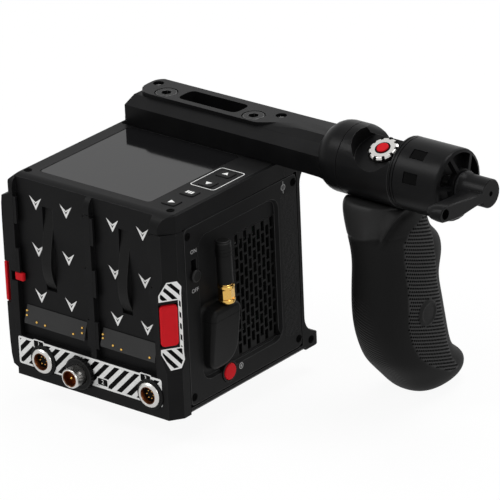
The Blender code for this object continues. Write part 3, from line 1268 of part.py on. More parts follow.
def beam_waist():
    """What is cut off behind the raised plate where it narrows towards the knuckle."""
    low = BEAM_TOP - BEAM_STEP + SKIN
    slope = (BEAM_TOP - BEAM_STEP - BEAM_BASE - BEAM_SHOULDER) / (PLATE_REAR_Y - BEAM_REAR_Y)
    rear = PLATE_REAR_Y - EDGE
    front = PLATE_REAR_Y + WAIST_DEPTH + EDGE
    section = [(rear, low - slope * EDGE), (front, low + slope * (front - PLATE_REAR_Y)),
               (front, BEAM_TOP + BEAM_STEP), (rear, BEAM_TOP + BEAM_STEP)]
    end_x = KNUCKLE_CENTRE_X - EDGE
    waste = prism("X", section, WAIST_X, end_x)
    plate = [(end_x + EDGE, front + EDGE), (WAIST_X - EDGE, front + EDGE), (WAIST_X - EDGE, PLATE_REAR_Y)]
    steps = 8
    for step in range(steps + 1):
        x = WAIST_X + WAIST_LENGTH * step / steps
        plate.append((x, PLATE_REAR_Y + WAIST_DEPTH * blend(0, 1, step / steps)))
    plate.append((end_x + EDGE, PLATE_REAR_Y + WAIST_DEPTH))
    return cut(waste, prism("Z", plate, BEAM_BASE, BEAM_TOP + 2 * BEAM_STEP))


def make_beam(black):
    angles = beam_angles()
    places = [BEAM_LEFT_X, BEAM_RIGHT_X]
    steps = 8
    neck = KNUCKLE_CENTRE_X - BEAM_RIGHT_X
    places += [BEAM_RIGHT_X + neck * (step + 1) / steps for step in range(steps)]
    piece = loft([beam_ring(x, angles) for x in places])
    end = [
        (BEAM_LEFT_X - PLATE_END_RADIUS, BEAM_REAR_Y - EDGE),
        (BEAM_LEFT_X + PLATE_END_RADIUS, BEAM_REAR_Y - EDGE),
        (BEAM_LEFT_X + PLATE_END_RADIUS, PLATE_REAR_Y),
    ]
    for step in range(1, 7):
        turn_angle = pi / 2 * step / 6
        end.append((BEAM_LEFT_X + PLATE_END_RADIUS * (1 - sin(turn_angle)),
                    PLATE_REAR_Y + PLATE_END_RADIUS * (1 - cos(turn_angle))))
    end.append((BEAM_LEFT_X - PLATE_END_RADIUS, PLATE_REAR_Y + PLATE_END_RADIUS))
    cut(piece, prism("Z", end, BEAM_TOP - BEAM_STEP, BEAM_TOP + EDGE))
    corner = [(BEAM_LEFT_X - EDGE, BEAM_FRONT_Y + EDGE), (BEAM_LEFT_X - EDGE,
                                                          BEAM_FRONT_Y - PLATE_FRONT_RADIUS)]
    for step in range(7):
        turn_angle = pi / 2 * step / 6
        corner.append((BEAM_LEFT_X + PLATE_FRONT_RADIUS * (1 - cos(turn_angle)),
                       BEAM_FRONT_Y - PLATE_FRONT_RADIUS * (1 - sin(turn_angle))))
    corner.append((BEAM_LEFT_X + PLATE_FRONT_RADIUS, BEAM_FRONT_Y + EDGE))
    cut(piece, prism("Z", corner, BEAM_BASE - EDGE, BEAM_TOP + EDGE))
    cut(piece, beam_waist())
    profile = []
    steps = 8
    for step in range(1, steps + 1):
        angle = pi / 2 * step / steps
        profile.append((KNUCKLE_CENTRE_X - KNUCKLE_SWELL * cos(angle), KNUCKLE_RADIUS * sin(angle)))
    profile.append((KNUCKLE_RIGHT_X - KNUCKLE_EDGE, KNUCKLE_RADIUS))
    profile.append((KNUCKLE_RIGHT_X, KNUCKLE_RADIUS - KNUCKLE_EDGE))
    join(piece, turned("X", (PIVOT_Y, PIVOT_Z), profile, 32))
    cut(piece, rod("X", (PIVOT_Y, PIVOT_Z), SHAFT_BORE, KNUCKLE_RIGHT_X - SHAFT_ENGAGE - GAP, HEAD_RIGHT_X,
                   16))
    middle_y = BOLT_Y + POCKET_WIDTH / 4
    pocket = rectangle(-POCKET_LENGTH / 2, middle_y - POCKET_WIDTH / 2, POCKET_LENGTH / 2,
                       middle_y + POCKET_WIDTH / 2, POCKET_CORNER)
    cut(piece, prism("Z", pocket, BEAM_TOP - POCKET_DEPTH, BEAM_TOP + EDGE))
    for x in (-BOLT_SPACING / 2, BOLT_SPACING / 2):
        cut(piece, rod("Z", (x, BOLT_Y), BOLT_RADIUS + GAP, BEAM_BASE - GAP, BEAM_TOP, 16))
        seat = BEAM_TOP - BOLT_HEAD_HEIGHT - GAP
        cut(piece, rod("Z", (x, BOLT_Y), BOLT_HEAD_RADIUS + GAP, seat, BEAM_TOP + EDGE, 24))
    for x in (LEFT_END_HOLE_X, RIGHT_END_HOLE_X):
        cut(piece, rod("Z", (x, END_HOLE_Y), END_HOLE_RADIUS, BEAM_TOP - END_HOLE_DEPTH, BEAM_TOP + EDGE,
                       16))
    place("handle_beam", piece, black)


def make_bolts(steel):
    head_low = BEAM_TOP - BOLT_HEAD_HEIGHT
    for name, x in (("beam_bolt_left", -BOLT_SPACING / 2), ("beam_bolt_right", BOLT_SPACING / 2)):
        profile = [(BODY_HEIGHT - BOLT_ENGAGE, BOLT_RADIUS), (head_low, BOLT_RADIUS),
                   (head_low, BOLT_HEAD_RADIUS),
                   (BEAM_TOP - EDGE / 2, BOLT_HEAD_RADIUS), (BEAM_TOP, BOLT_HEAD_RADIUS - EDGE / 2)]
        piece = turned("Z", (x, BOLT_Y), profile, 24)
        cut(piece, rod("Z", (x, BOLT_Y), BOLT_HEX, BEAM_TOP - BOLT_HEX_DEPTH, BEAM_TOP + EDGE, 6))
        place(name, piece, steel)


def make_pivot(steel, black):
    shaft = rod("X", (PIVOT_Y, PIVOT_Z), SHAFT_RADIUS, KNUCKLE_RIGHT_X - SHAFT_ENGAGE,
                HUB_END_X - HUB_END_WALL - GAP, 16)
    place("pivot_shaft", shaft, steel)
    washer = ring("X", (PIVOT_Y, PIVOT_Z), WASHER_RADIUS, SHAFT_BORE, WASHER_X, WASHER_X + WASHER_THICKNESS)
    place("thrust_washer", washer, steel)


def make_head(black, silver, red):
    centre = (PIVOT_Y, PIVOT_Z)
    axis = (0, PIVOT_Y, PIVOT_Z)
    profile = [(HEAD_LEFT_X, KNUCKLE_RADIUS - HEAD_ROUND), (HEAD_LEFT_X + HEAD_ROUND, KNUCKLE_RADIUS),
               (HEAD_RIGHT_X - HEAD_ROUND, KNUCKLE_RADIUS), (HEAD_RIGHT_X, KNUCKLE_RADIUS - HEAD_ROUND)]
    piece = turned("X", centre, profile, 32)
    stem_x = GRIP_X
    stem = rectangle(stem_x - STEM_WIDTH / 2, PIVOT_Y - STEM_DEPTH / 3, stem_x + STEM_WIDTH / 2,
                     PIVOT_Y + STEM_DEPTH * 2 / 3, STEM_WIDTH / 4)
    join(piece, prism("Z", stem, PIVOT_Z, PIVOT_Z - STEM_LENGTH))
    flat = PIVOT_Z + FLAT_RADIUS
    reach = 2 * KNUCKLE_RADIUS
    scoop = rod("Z", (TRIGGER_X, PIVOT_Y), SCOOP_RADIUS, flat, PIVOT_Z + reach, 40)
    cut(piece, turn(scoop, 'X', FLAT_TILT, axis))
    start = HEAD_LEFT_X + FAR_START
    drop = KNUCKLE_RADIUS + GAP - FAR_RADIUS
    far = [(HEAD_RIGHT_X + GAP, PIVOT_Z + FAR_RADIUS), (HEAD_RIGHT_X + GAP, PIVOT_Z + reach),
           (start, PIVOT_Z + reach)]
    steps = 6
    for step in range(steps + 1):
        angle = pi / 2 * step / steps
        far.append((start + FAR_FADE * sin(angle), PIVOT_Z + FAR_RADIUS + drop * cos(angle)))
    cut(piece, turn(prism("Y", far, PIVOT_Y - reach, PIVOT_Y + reach), 'X', FAR_TILT, axis))
    cut(piece, rod("X", centre, SHAFT_BORE, HEAD_LEFT_X - GAP, HEAD_RIGHT_X + GAP, 16))
    bezel_low = flat + GAP
    bezel_top = bezel_low + BEZEL_THICKNESS
    button_top = bezel_top + TRIGGER_PROUD
    button_low = button_top - TRIGGER_BODY
    hole = rod("Z", (TRIGGER_X, PIVOT_Y), TRIGGER_RADIUS + RUN, button_low - TRIGGER_TRAVEL - RUN,
               PIVOT_Z + reach, 20)
    cut(piece, turn(hole, 'X', FLAT_TILT, axis))
    place("grip_head", piece, black, axis)
    profile = [(bezel_low, BEZEL_RADIUS), (bezel_top - EDGE, BEZEL_RADIUS), (bezel_top, BEZEL_RADIUS - EDGE),
               (bezel_top, TRIGGER_RADIUS + RUN), (bezel_low, TRIGGER_RADIUS + RUN)]
    bezel = turned("Z", (TRIGGER_X, PIVOT_Y), profile, 28, tube=True)
    place("trigger_bezel", turn(bezel, 'X', FLAT_TILT, axis), silver, axis)
    button = prism("Z", circle(TRIGGER_X, PIVOT_Y, TRIGGER_RADIUS, 20), button_low, button_top, EDGE / 2, 2)
    height = bezel_top - PIVOT_Z
    origin = (TRIGGER_X, PIVOT_Y - height * sin(FLAT_TILT), PIVOT_Z + height * cos(FLAT_TILT))
    place("trigger_button", turn(button, 'X', FLAT_TILT, axis), red, origin)


def make_collar(black):
    wall_radius = KNUCKLE_RADIUS - COLLAR_WALL
    profile = [(COLLAR_LEFT_X, KNUCKLE_RADIUS)]
    for index in range(COLLAR_GROOVES):
        start = COLLAR_LEFT_X + (index + 0.5) * COLLAR_GROOVE_PITCH
        profile += [(start, KNUCKLE_RADIUS), (start + COLLAR_GROOVE / 2, KNUCKLE_RADIUS - COLLAR_GROOVE),
                    (start + COLLAR_GROOVE, KNUCKLE_RADIUS)]
    steps = 4
    drop = KNUCKLE_RADIUS - COLLAR_NOSE_RADIUS
    for step in range(steps + 1):
        angle = pi / 2 * step / steps
        profile.append((COLLAR_RIGHT_X + COLLAR_NOSE * sin(angle), KNUCKLE_RADIUS - drop * (1 - cos(angle))))
    profile += [(CAP_X, CAP_HUB_RADIUS), (CAP_X, SHAFT_BORE), (CAP_X - CAP_THICKNESS, SHAFT_BORE),
                (CAP_X - CAP_THICKNESS, CAP_HUB_RADIUS - EDGE), (NOSE_X - CAP_THICKNESS, wall_radius),
                (COLLAR_LEFT_X + COLLAR_WEB, wall_radius), (COLLAR_LEFT_X + COLLAR_WEB, SHAFT_BORE),
                (COLLAR_LEFT_X, SHAFT_BORE)]
    piece = turned("X", (PIVOT_Y, PIVOT_Z), profile, 32, tube=True)
    axis = (0, PIVOT_Y, PIVOT_Z)
    near = CAP_HUB_RADIUS + EDGE / 2
    far = min(COLLAR_NOSE_RADIUS - CAP_RIM, wall_radius - EDGE / 4)
    arc_steps = 5
    for index in range(SPOKES):
        middle = SPOKE_PHASE + (index + 0.5) * 2 * pi / SPOKES
        outer = []
        inner = []
        for radius, points in ((far, outer), (near, inner)):
            half = pi / SPOKES - asin(SPOKE_WIDTH / 2 / radius)
            for step in range(arc_steps + 1):
                angle = middle + half * (2 * step / arc_steps - 1)
                points.append((PIVOT_Y + radius * cos(angle), PIVOT_Z + radius * sin(angle)))
        cut(piece, prism("X", outer + inner[::-1], COLLAR_RIGHT_X - CAP_THICKNESS, CAP_X + EDGE))
    window_x = COLLAR_LEFT_X + COLLAR_WINDOW_X
    half = COLLAR_WINDOW_WIDTH / 2
    depth = KNUCKLE_RADIUS - COLLAR_WINDOW_DEPTH
    for angle in COLLAR_WINDOW_ANGLES:
        window = block((window_x, PIVOT_Y + depth, PIVOT_Z - half),
                       (window_x + COLLAR_WINDOW_LENGTH, PIVOT_Y + 2 * KNUCKLE_RADIUS, PIVOT_Z + half))
        cut(piece, turn(window, 'X', angle, axis))
    place("clamp_collar", piece, black, axis)


def arm_ring(along, half, width, tip):
    """The lever arm's section: a flat outer face, and a blade that thins out towards the collar."""
    share = min(1, along / tip)
    lift = PIVOT_Z + ARM_LIFT * share ** ARM_CURVE
    lean = ARM_LIFT * ARM_CURVE / tip * share ** (ARM_CURVE - 1)
    rim = min(EDGE, half) / 2
    inner = HUB_END_X - ARM_FLAT * width
    outline = [(HUB_END_X - rim, -half), (HUB_END_X, rim - half), (HUB_END_X, half - rim),
               (HUB_END_X - rim, half)]
    for step in range(7):
        angle = pi * step / 6
        outline.append((inner - (1 - ARM_FLAT) * width * sin(angle), half * cos(angle)))
    return [Vector((x, PIVOT_Y - along + rise * sin(lean), lift + rise * cos(lean))) for x, rise in outline]


def make_lever(black):
    centre = (PIVOT_Y, PIVOT_Z)
    bore_end = HUB_END_X - HUB_END_WALL
    profile = [(HUB_X, HUB_RADIUS + HUB_FLARE), (HUB_X + HUB_FLARE_LENGTH / 3, HUB_RADIUS + HUB_FLARE / 3),
               (HUB_X + HUB_FLARE_LENGTH, HUB_RADIUS), (HUB_END_X - EDGE / 2, HUB_RADIUS),
               (HUB_END_X, HUB_RADIUS - EDGE / 2),
               (HUB_END_X, HUB_END_HOLE), (bore_end, HUB_END_HOLE), (bore_end, SHAFT_BORE),
               (HUB_X, SHAFT_BORE)]
    piece = turned("X", centre, profile, 24, tube=True)
    tip = ARM_LENGTH - ARM_BELLY
    start = HUB_RADIUS / 2
    rings = []
    steps = 8
    for step in range(steps + 1):
        share = step / steps
        half = ARM_NECK + (ARM_BELLY - ARM_NECK) * blend(0.2, 0.7, share)
        width = ARM_WIDTH + (ARM_TIP_WIDTH - ARM_WIDTH) * share
        rings.append(arm_ring(start + (tip - start) * share, half, width, tip))
    for step in range(1, 5):
        angle = pi / 2 * step / 4.2
        width = ARM_TIP_WIDTH * (1 + cos(angle)) / 2
        rings.append(arm_ring(tip + ARM_BELLY * sin(angle), ARM_BELLY * cos(angle), width, tip))
    arm = loft(rings)
    tip_y = PIVOT_Y - tip
    tip_z = PIVOT_Z + ARM_LIFT
    cut(arm, rod("X", (tip_y, tip_z), ARM_HOLE_RADIUS, HUB_END_X - ARM_HOLE_DEPTH, HUB_END_X + EDGE, 16))
    axis = (0, PIVOT_Y, PIVOT_Z)
    join(piece, arm)
    place("clamp_lever", piece, black, axis)


def grip_sections(steps):
    """The grip's sections with smooth ones put in between them."""
    count = len(GRIP_SECTIONS)
    result = []
    for index in range(count - 1):
        before = GRIP_SECTIONS[max(index - 1, 0)]
        start = GRIP_SECTIONS[index]
        end = GRIP_SECTIONS[index + 1]
        after = GRIP_SECTIONS[min(index + 2, count - 1)]
        for step in range(steps):
            t = step / steps
            result.append([((-t + 2 * t ** 2 - t ** 3) * a + (2 - 5 * t ** 2 + 3 * t ** 3) * b
                            + (t + 4 * t ** 2 - 3 * t ** 3) * c + (t ** 3 - t ** 2) * d) / 2
                           for a, b, c, d in zip(before, start, end, after)])
    result.append(GRIP_SECTIONS[-1])
    return result


def grip_ring(drop, rear, front, half_width):
    power = 2 / GRIP_SQUARENESS
    points = []
    for index in range(GRIP_SIDES):
        angle = 2 * pi * index / GRIP_SIDES
        u = cos(angle)
        v = sin(angle)
        x = GRIP_X + half_width * abs(u) ** power * (1 if u > 0 else -1)
        y = PIVOT_Y + (rear + front) / 2 + (front - rear) / 2 * abs(v) ** power * (1 if v > 0 else -1)
        points.append(Vector((x, y, PIVOT_Z - drop)))
    return points


def make_grip(rubber):
    piece = loft([grip_ring(*section) for section in grip_sections(2)])
    reach = 2 * KNUCKLE_RADIUS
    cut(piece, rod("X", (PIVOT_Y, PIVOT_Z), KNUCKLE_RADIUS + RUN, GRIP_X - reach, GRIP_X + reach, 40))
    stem_x = GRIP_X
    half = STEM_WIDTH / 2 + GAP
    pocket = rectangle(stem_x - half, PIVOT_Y - STEM_DEPTH / 3 - GAP, stem_x + half,
                       PIVOT_Y + STEM_DEPTH * 2 / 3 + GAP, STEM_WIDTH / 4)
    cut(piece, prism("Z", pocket, PIVOT_Z - STEM_LENGTH - GAP, PIVOT_Z))
    place("grip_shell", piece, rubber, (0, PIVOT_Y, PIVOT_Z), 50)


def main():
    clear_scene()
    black = finish("black_housing", (0.022, 0.022, 0.023), 0.5, 0.0)
    anodised = finish("black_anodised", (0.018, 0.018, 0.019), 0.42, 0.6)
    rubber = finish("black_rubber", (0.02, 0.02, 0.02), 0.75, 0.0)
    plastic = finish("dark_plastic", (0.012, 0.012, 0.012), 0.6, 0.0)
    red = finish("red_plastic", (0.62, 0.02, 0.025), 0.45, 0.0)
    silver = finish("silver", (0.75, 0.75, 0.74), 0.3, 1.0)
    steel = finish("steel", (0.35, 0.35, 0.35), 0.35, 1.0)
    gold = finish("gold_plating", (0.83, 0.6, 0.25), 0.3, 1.0)
    glass = finish("dark_glass", (0.03, 0.03, 0.033), 0.08, 0.0)
    board = finish("circuit_board", (0.03, 0.08, 0.05), 0.6, 0.0)
    aluminium = finish("aluminium", (0.6, 0.6, 0.6), 0.45, 1.0)
    make_chassis(black)
    make_base_plate(anodised)
    make_lens_mount(silver, black, steel)
    make_sensor(board, glass)
    make_top(black, rubber, glass, plastic)
    make_rear(black)
    make_releases(red)
    make_bay_fittings(plastic, plastic)
    make_sockets(silver, plastic)
    make_right_side(black, plastic, red, plastic)
    make_aerial(plastic, gold)
    make_left_side(black, steel, plastic)
    make_cooling(plastic, aluminium, board)
    make_beam(anodised)
    make_bolts(steel)
    make_pivot(steel, anodised)
    make_head(anodised, silver, red)
    make_collar(anodised)
    make_lever(anodised)
    make_grip(rubber)


main()
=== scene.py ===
# %% [markdown]
# # A cinema camera rig, dressed for its portrait
# The solids of the camera come in as a fixed frame. This lesson gives them soft edges, finishes, printed
# marks and the small pieces that only matter to the eye. The frame's box is kept first, because the dressed
# camera may not outgrow it.

# %% The frame
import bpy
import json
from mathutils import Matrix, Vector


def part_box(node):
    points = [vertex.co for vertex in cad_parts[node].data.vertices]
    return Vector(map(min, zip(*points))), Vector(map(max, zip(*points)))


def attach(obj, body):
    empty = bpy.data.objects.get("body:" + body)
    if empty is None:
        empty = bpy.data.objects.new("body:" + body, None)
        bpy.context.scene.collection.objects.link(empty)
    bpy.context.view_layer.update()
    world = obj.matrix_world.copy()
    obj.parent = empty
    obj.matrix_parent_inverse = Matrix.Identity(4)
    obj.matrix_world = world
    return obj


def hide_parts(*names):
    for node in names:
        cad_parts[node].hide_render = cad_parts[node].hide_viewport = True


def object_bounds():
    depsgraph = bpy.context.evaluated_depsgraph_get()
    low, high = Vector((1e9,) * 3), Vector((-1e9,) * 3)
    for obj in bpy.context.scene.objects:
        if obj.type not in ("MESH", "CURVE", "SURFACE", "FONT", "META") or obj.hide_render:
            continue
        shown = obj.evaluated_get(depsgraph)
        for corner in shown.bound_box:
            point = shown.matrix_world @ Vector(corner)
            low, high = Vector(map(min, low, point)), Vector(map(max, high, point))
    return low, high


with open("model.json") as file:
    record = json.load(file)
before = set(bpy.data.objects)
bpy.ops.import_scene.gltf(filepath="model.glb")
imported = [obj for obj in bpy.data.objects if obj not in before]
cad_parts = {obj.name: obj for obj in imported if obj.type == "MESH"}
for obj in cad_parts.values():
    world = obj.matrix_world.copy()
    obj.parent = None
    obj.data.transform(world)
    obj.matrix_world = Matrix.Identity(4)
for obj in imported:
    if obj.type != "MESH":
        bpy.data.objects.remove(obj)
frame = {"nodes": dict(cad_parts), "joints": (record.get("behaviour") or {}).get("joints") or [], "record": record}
CAD_BOX = [list(corner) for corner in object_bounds()]

import json
from math import ceil, copysign, cos, degrees, hypot, pi, radians, sin

import bmesh
import bpy
import numpy as np
from mathutils import Matrix, Vector
from mathutils.bvhtree import BVHTree

MM = 0.001

# %% [markdown]
# ## The view
# The portrait is taken from behind, from the right and from above, with a long lens, so that parallel edges
# stay nearly parallel. A camera could be aimed with a constraint, but a matrix written from two angles, a
# roll and a distance is exact, and it is the same on every run.

# %% The camera
AZIMUTH = radians(39.9)
ELEVATION = radians(23.55)
ROLL = radians(-2.47)
FOCAL_PIXELS = 4520.7
IMAGE_PIXELS = 500
SENSOR = 36.0
DISTANCE = 2035.0 * MM
SLIDE_RIGHT = -38.65 * MM
SLIDE_UP = -3.29 * MM
AIM = Vector((0, 0, 50 * MM))

forward = -Vector((sin(AZIMUTH) * cos(ELEVATION), -cos(AZIMUTH) * cos(ELEVATION), sin(ELEVATION)))
level = Vector((cos(AZIMUTH), sin(AZIMUTH), 0))
upright = level.cross(forward)
right = cos(ROLL) * level + sin(ROLL) * upright
up = cos(ROLL) * upright - sin(ROLL) * level
eye = AIM - SLIDE_RIGHT * right - SLIDE_UP * up - DISTANCE * forward

lens = bpy.data.cameras.new("portrait_lens")
lens.sensor_width = SENSOR
lens.lens = FOCAL_PIXELS / IMAGE_PIXELS * SENSOR
lens.clip_end = 20
portrait = bpy.data.objects.new("portrait_camera", lens)
portrait.matrix_world = Matrix((right, up, -forward)).transposed().to_4x4()
portrait.matrix_world.translation = eye
bpy.context.collection.objects.link(portrait)
bpy.context.scene.camera = portrait
bpy.context.scene.view_settings.view_transform = 'Standard'
print("camera at", [round(c, 3) for c in eye])

# %% [markdown]
# ## Finishes as expressions
# A finish is a small sum: a colour, plus a little grain, less some polish where hands go. Nodes can be
# placed and wired one by one, but sums read better. So one class wraps a socket and turns +, -, * and
# comparisons into Math nodes, and one method adds any other node.

# %% Signals


class Signal:
    """A socket of a finish. Arithmetic on it adds Math nodes."""

    def __init__(self, paint, socket):
        self.paint = paint
        self.socket = socket

    def maths(self, operation, *values):
        return self.paint.add("ShaderNodeMath", {"operation": operation}, dict(enumerate(values)))

    def __add__(self, other):
        return self.maths('ADD', self, other)

    def __sub__(self, other):
        return self.maths('SUBTRACT', self, other)

    def __rsub__(self, other):
        return self.maths('SUBTRACT', other, self)

    def __mul__(self, other):
        return self.maths('MULTIPLY', self, other)

    def __gt__(self, other):
        return self.maths('GREATER_THAN', self, other)

    def __lt__(self, other):
        return self.maths('LESS_THAN', self, other)

    def __abs__(self):
        return self.maths('ABSOLUTE', self)

    __radd__ = __add__
    __rmul__ = __mul__


print("a signal knows sums, products, comparisons and absolute values")

# %% Paints


class Paint:
    """A finish being mixed, on a Principled shader."""

    def __init__(self, name, colour, roughness, metallic=0.0, **constants):
        self.material = bpy.data.materials.new(name)
        self.material.use_nodes = True
        self.tree = self.material.node_tree
        self.shader = self.tree.nodes["Principled BSDF"]
        self.shader.inputs["Base Color"].default_value = (*colour, 1)
        self.shader.inputs["Roughness"].default_value = roughness
        self.shader.inputs["Metallic"].default_value = metallic
        for socket, value in constants.items():
            self.shader.inputs[socket.replace("_", " ")].default_value = value

    def add(self, kind, settings, inputs, output=0):
        """Any node: its settings first, then the values or links of its sockets."""
        node = self.tree.nodes.new(kind)
        for key, value in settings.items():
            setattr(node, key, value)
        for key, value in inputs.items():
            if isinstance(value, Signal):
                self.tree.links.new(value.socket, node.inputs[key])
            else:
                node.inputs[key].default_value = value
        return Signal(self, node.outputs[output])

    def feed(self, socket, signal):
        self.tree.links.new(signal.socket, self.shader.inputs[socket])

    def place(self):
        return self.add("ShaderNodeTexCoord", {}, {}, "Object")

    def axes(self, place):
        split = self.add("ShaderNodeSeparateXYZ", {}, {0: place})
        return [Signal(self, socket) for socket in split.socket.node.outputs]

    def noise(self, size, detail=2.0):
        """Cloudy values from 0 to 1, whose clouds are about so many metres across."""
        inputs = {"Vector": self.place(), "Scale": 1 / size, "Detail": detail}
        return self.add("ShaderNodeTexNoise", {}, inputs)

    def mix(self, share, first, second):
        """One colour going over to another."""
        ends = [colour if isinstance(colour, Signal) else (*colour, 1) for colour in (first, second)]
        return self.add("ShaderNodeMix", {"data_type": 'RGBA'}, {0: share, 6: ends[0], 7: ends[1]}, 2)

    def bump(self, height, depth):
        """Raise the surface by a height signal, so many metres at most."""
        normal = self.add("ShaderNodeBump", {}, {"Strength": 1.0, "Distance": depth, "Height": height})
        self.feed("Normal", normal)


print("a paint knows place, noise, mix and bump")

# %% [markdown]
# ## Black on black
# Nearly the whole object is black. One black for everything would be quick, but then only the outline could
# be read. So the materials are told apart by grain and gloss: powder coat on the housing, satin anodising
# on the beam and the clamp, dull rubber on the buttons. A black surface still shows the white room around
# it, so the specular level of the dull ones is low.

# %% Finishes for the black pieces
CLOUD = 12 * MM


def grained_black(name, colour, roughness, grain, depth, specular):
    """A black finish whose grain varies its height, gloss and colour a little."""
    paint = Paint(name, colour, roughness, Specular_IOR_Level=specular)
    fine = paint.noise(grain)
    broad = paint.noise(CLOUD, 3.0)
    paint.bump(fine, depth)
    paint.feed("Roughness", roughness - 0.06 + fine * 0.06 + broad * 0.08)
    pale = [channel * 1.5 + 0.002 for channel in colour]
    paint.feed("Base Color", paint.mix(broad, colour, pale))
    return paint.material


COAT_BLACK, COAT_PALE = (0.0035, 0.0035, 0.0037), (0.0075, 0.0075, 0.0077)
COAT_ROUGHNESS, COAT_SPECULAR, COAT_GRAIN = 0.46, 0.075, 0.35 * MM
POWDER_COAT = grained_black("powder_coat", COAT_BLACK, COAT_ROUGHNESS, COAT_GRAIN, 0.03 * MM, COAT_SPECULAR)
ANODISED = grained_black("black_anodising", (0.0025, 0.0025, 0.0027), 0.33, 0.2 * MM, 0.008 * MM, 0.07)
RUBBER = grained_black("button_rubber", (0.006, 0.006, 0.006), 0.6, 0.5 * MM, 0.03 * MM, 0.1)
PLASTIC = grained_black("moulded_plastic", (0.004, 0.004, 0.004), 0.45, 0.25 * MM, 0.02 * MM, 0.09)
CONTACT_GREY = grained_black("contact_plastic", (0.018, 0.018, 0.018), 0.5, 0.25 * MM, 0.01 * MM, 0.2)
GLOSS_BLACK = grained_black("glossy_inlay", (0.001, 0.001, 0.001), 0.16, 2 * MM, 0.002 * MM, 0.03)
BLACK_OXIDE = grained_black("black_oxide", (0.0015, 0.0015, 0.0016), 0.3, 0.4 * MM, 0.004 * MM, 0.1)
# Near-black: the own colour of the sensor mask and the display, and painted shade in the grip's pits and around
# the housing's screw heads.
BLACK_AND_PAINTED_SHADE = grained_black("shadowed_inside", (0.0008, 0.0008, 0.0008), 0.8, 0.5 * MM, 0.01 * MM, 0.02)
print("black finishes:", [material.name for material in bpy.data.materials])

# %% [markdown]
# ## Grain, wear and painted edge highlights
# The side panel is powder-coated like the housing, but a band along its front edge is moulded like leather,
# and the edges are paler than the faces: partly wear where hands and bags rub, partly a painted highlight
# along each edge. The band could be a separate piece. Here two comparisons on the place switch the coarser
# grain on inside it, and the edge finishes with wear and painted highlight wait for the rounded edges.

# %% Banded coat, and edges with wear and a painted highlight
BAND_Y, BAND_Z = 32.5 * MM, 46 * MM
BAND_HALF_WIDTH, BAND_HALF_HEIGHT = 5.2 * MM, 35 * MM
LEATHER = 1.1 * MM


def banded_coat():
    """Powder coat with a band of leather grain along the front edge of the side panel."""
    paint = Paint("panel_coat", COAT_BLACK, COAT_ROUGHNESS, Specular_IOR_Level=COAT_SPECULAR)
    place = paint.place()
    x, y, z = paint.axes(place)
    band = (abs(y - BAND_Y) < BAND_HALF_WIDTH) * (abs(z - BAND_Z) < BAND_HALF_HEIGHT)
    squeezed = paint.add("ShaderNodeMapping", {}, {"Vector": place, "Scale": (1.0, 0.55, 1.6)})
    inputs = {"Vector": squeezed, "Scale": 1 / LEATHER, "Detail": 3.0, "Distortion": 0.6}
    grain = paint.add("ShaderNodeTexNoise", {}, inputs)
    fine = paint.noise(COAT_GRAIN)
    broad = paint.noise(CLOUD, 3.0)
    paint.bump(fine * 0.1 + band * grain, 0.3 * MM)
    paint.feed("Roughness", 0.4 + fine * 0.06 + broad * 0.08)
    paint.feed("Base Color", paint.mix(broad + band * grain * 0.8, COAT_BLACK, COAT_PALE))
    return paint.material


PANEL_COAT = banded_coat()
# Edge finishes, paler than the faces: partly wear, partly a painted highlight along each rounded edge.
EDGE_WEAR_AND_HIGHLIGHT = {
    "powder_coat": grained_black("powder_coat_edge_wear_and_highlight", (0.014, 0.014, 0.0145), 0.4, 0.3 * MM, 0.01 * MM, 0.3),
    "panel_coat": grained_black("panel_coat_edge_wear_and_highlight", (0.016, 0.016, 0.0165), 0.4, 0.3 * MM, 0.01 * MM, 0.34),
    "black_anodising": grained_black("anodising_edge_wear_and_highlight", (0.012, 0.012, 0.0125), 0.3, 0.3 * MM, 0.004 * MM,
                                     0.3),
    "black_oxide": grained_black("oxide_edge_wear_and_highlight", (0.03, 0.03, 0.03), 0.3, 0.3 * MM, 0.004 * MM, 0.4),
    "moulded_plastic": grained_black("plastic_edge_wear_and_highlight", (0.009, 0.009, 0.009), 0.4, 0.3 * MM, 0.01 * MM, 0.2),
}
print("worn edges for", ", ".join(EDGE_WEAR_AND_HIGHLIGHT))

# %% [markdown]
# ## Metals, glass and colour
# Plated metal is bright because it mirrors the room, and the screen is dark glass: what one sees on it is
# the room and the beam. Scratches and smears could be drawn one by one, but a noise in the gloss is enough
# at this size. The red plastic gets a faint moulding grain.

# %% Finishes for metal, glass, red plastic and print
SCRATCH = 0.12


def plated(name, colour, roughness):
    paint = Paint(name, colour, roughness, 1.0)
    streaks = paint.noise(0.6 * MM, 4.0)
    paint.feed("Roughness", roughness - SCRATCH / 2 + streaks * SCRATCH)
    dull = [channel * 0.8 for channel in colour]
    paint.feed("Base Color", paint.mix(streaks, colour, dull))
    return paint.material


def coloured(name, colour, roughness, grain=0.4 * MM, depth=0.015 * MM, specular=0.35):
    paint = Paint(name, colour, roughness, Specular_IOR_Level=specular)
    fine = paint.noise(grain)
    broad = paint.noise(5 * MM)
    paint.bump(fine, depth)
    paint.feed("Roughness", roughness + fine * 0.1)
    paint.feed("Base Color", paint.mix(broad, colour, [channel * 0.82 for channel in colour]))
    return paint.material


def dark_glass(name, colour, roughness, index):
    paint = Paint(name, colour, roughness, IOR=index)
    smear = paint.noise(18 * MM, 2.0)
    paint.feed("Roughness", roughness + smear * 0.05)
    return paint.material


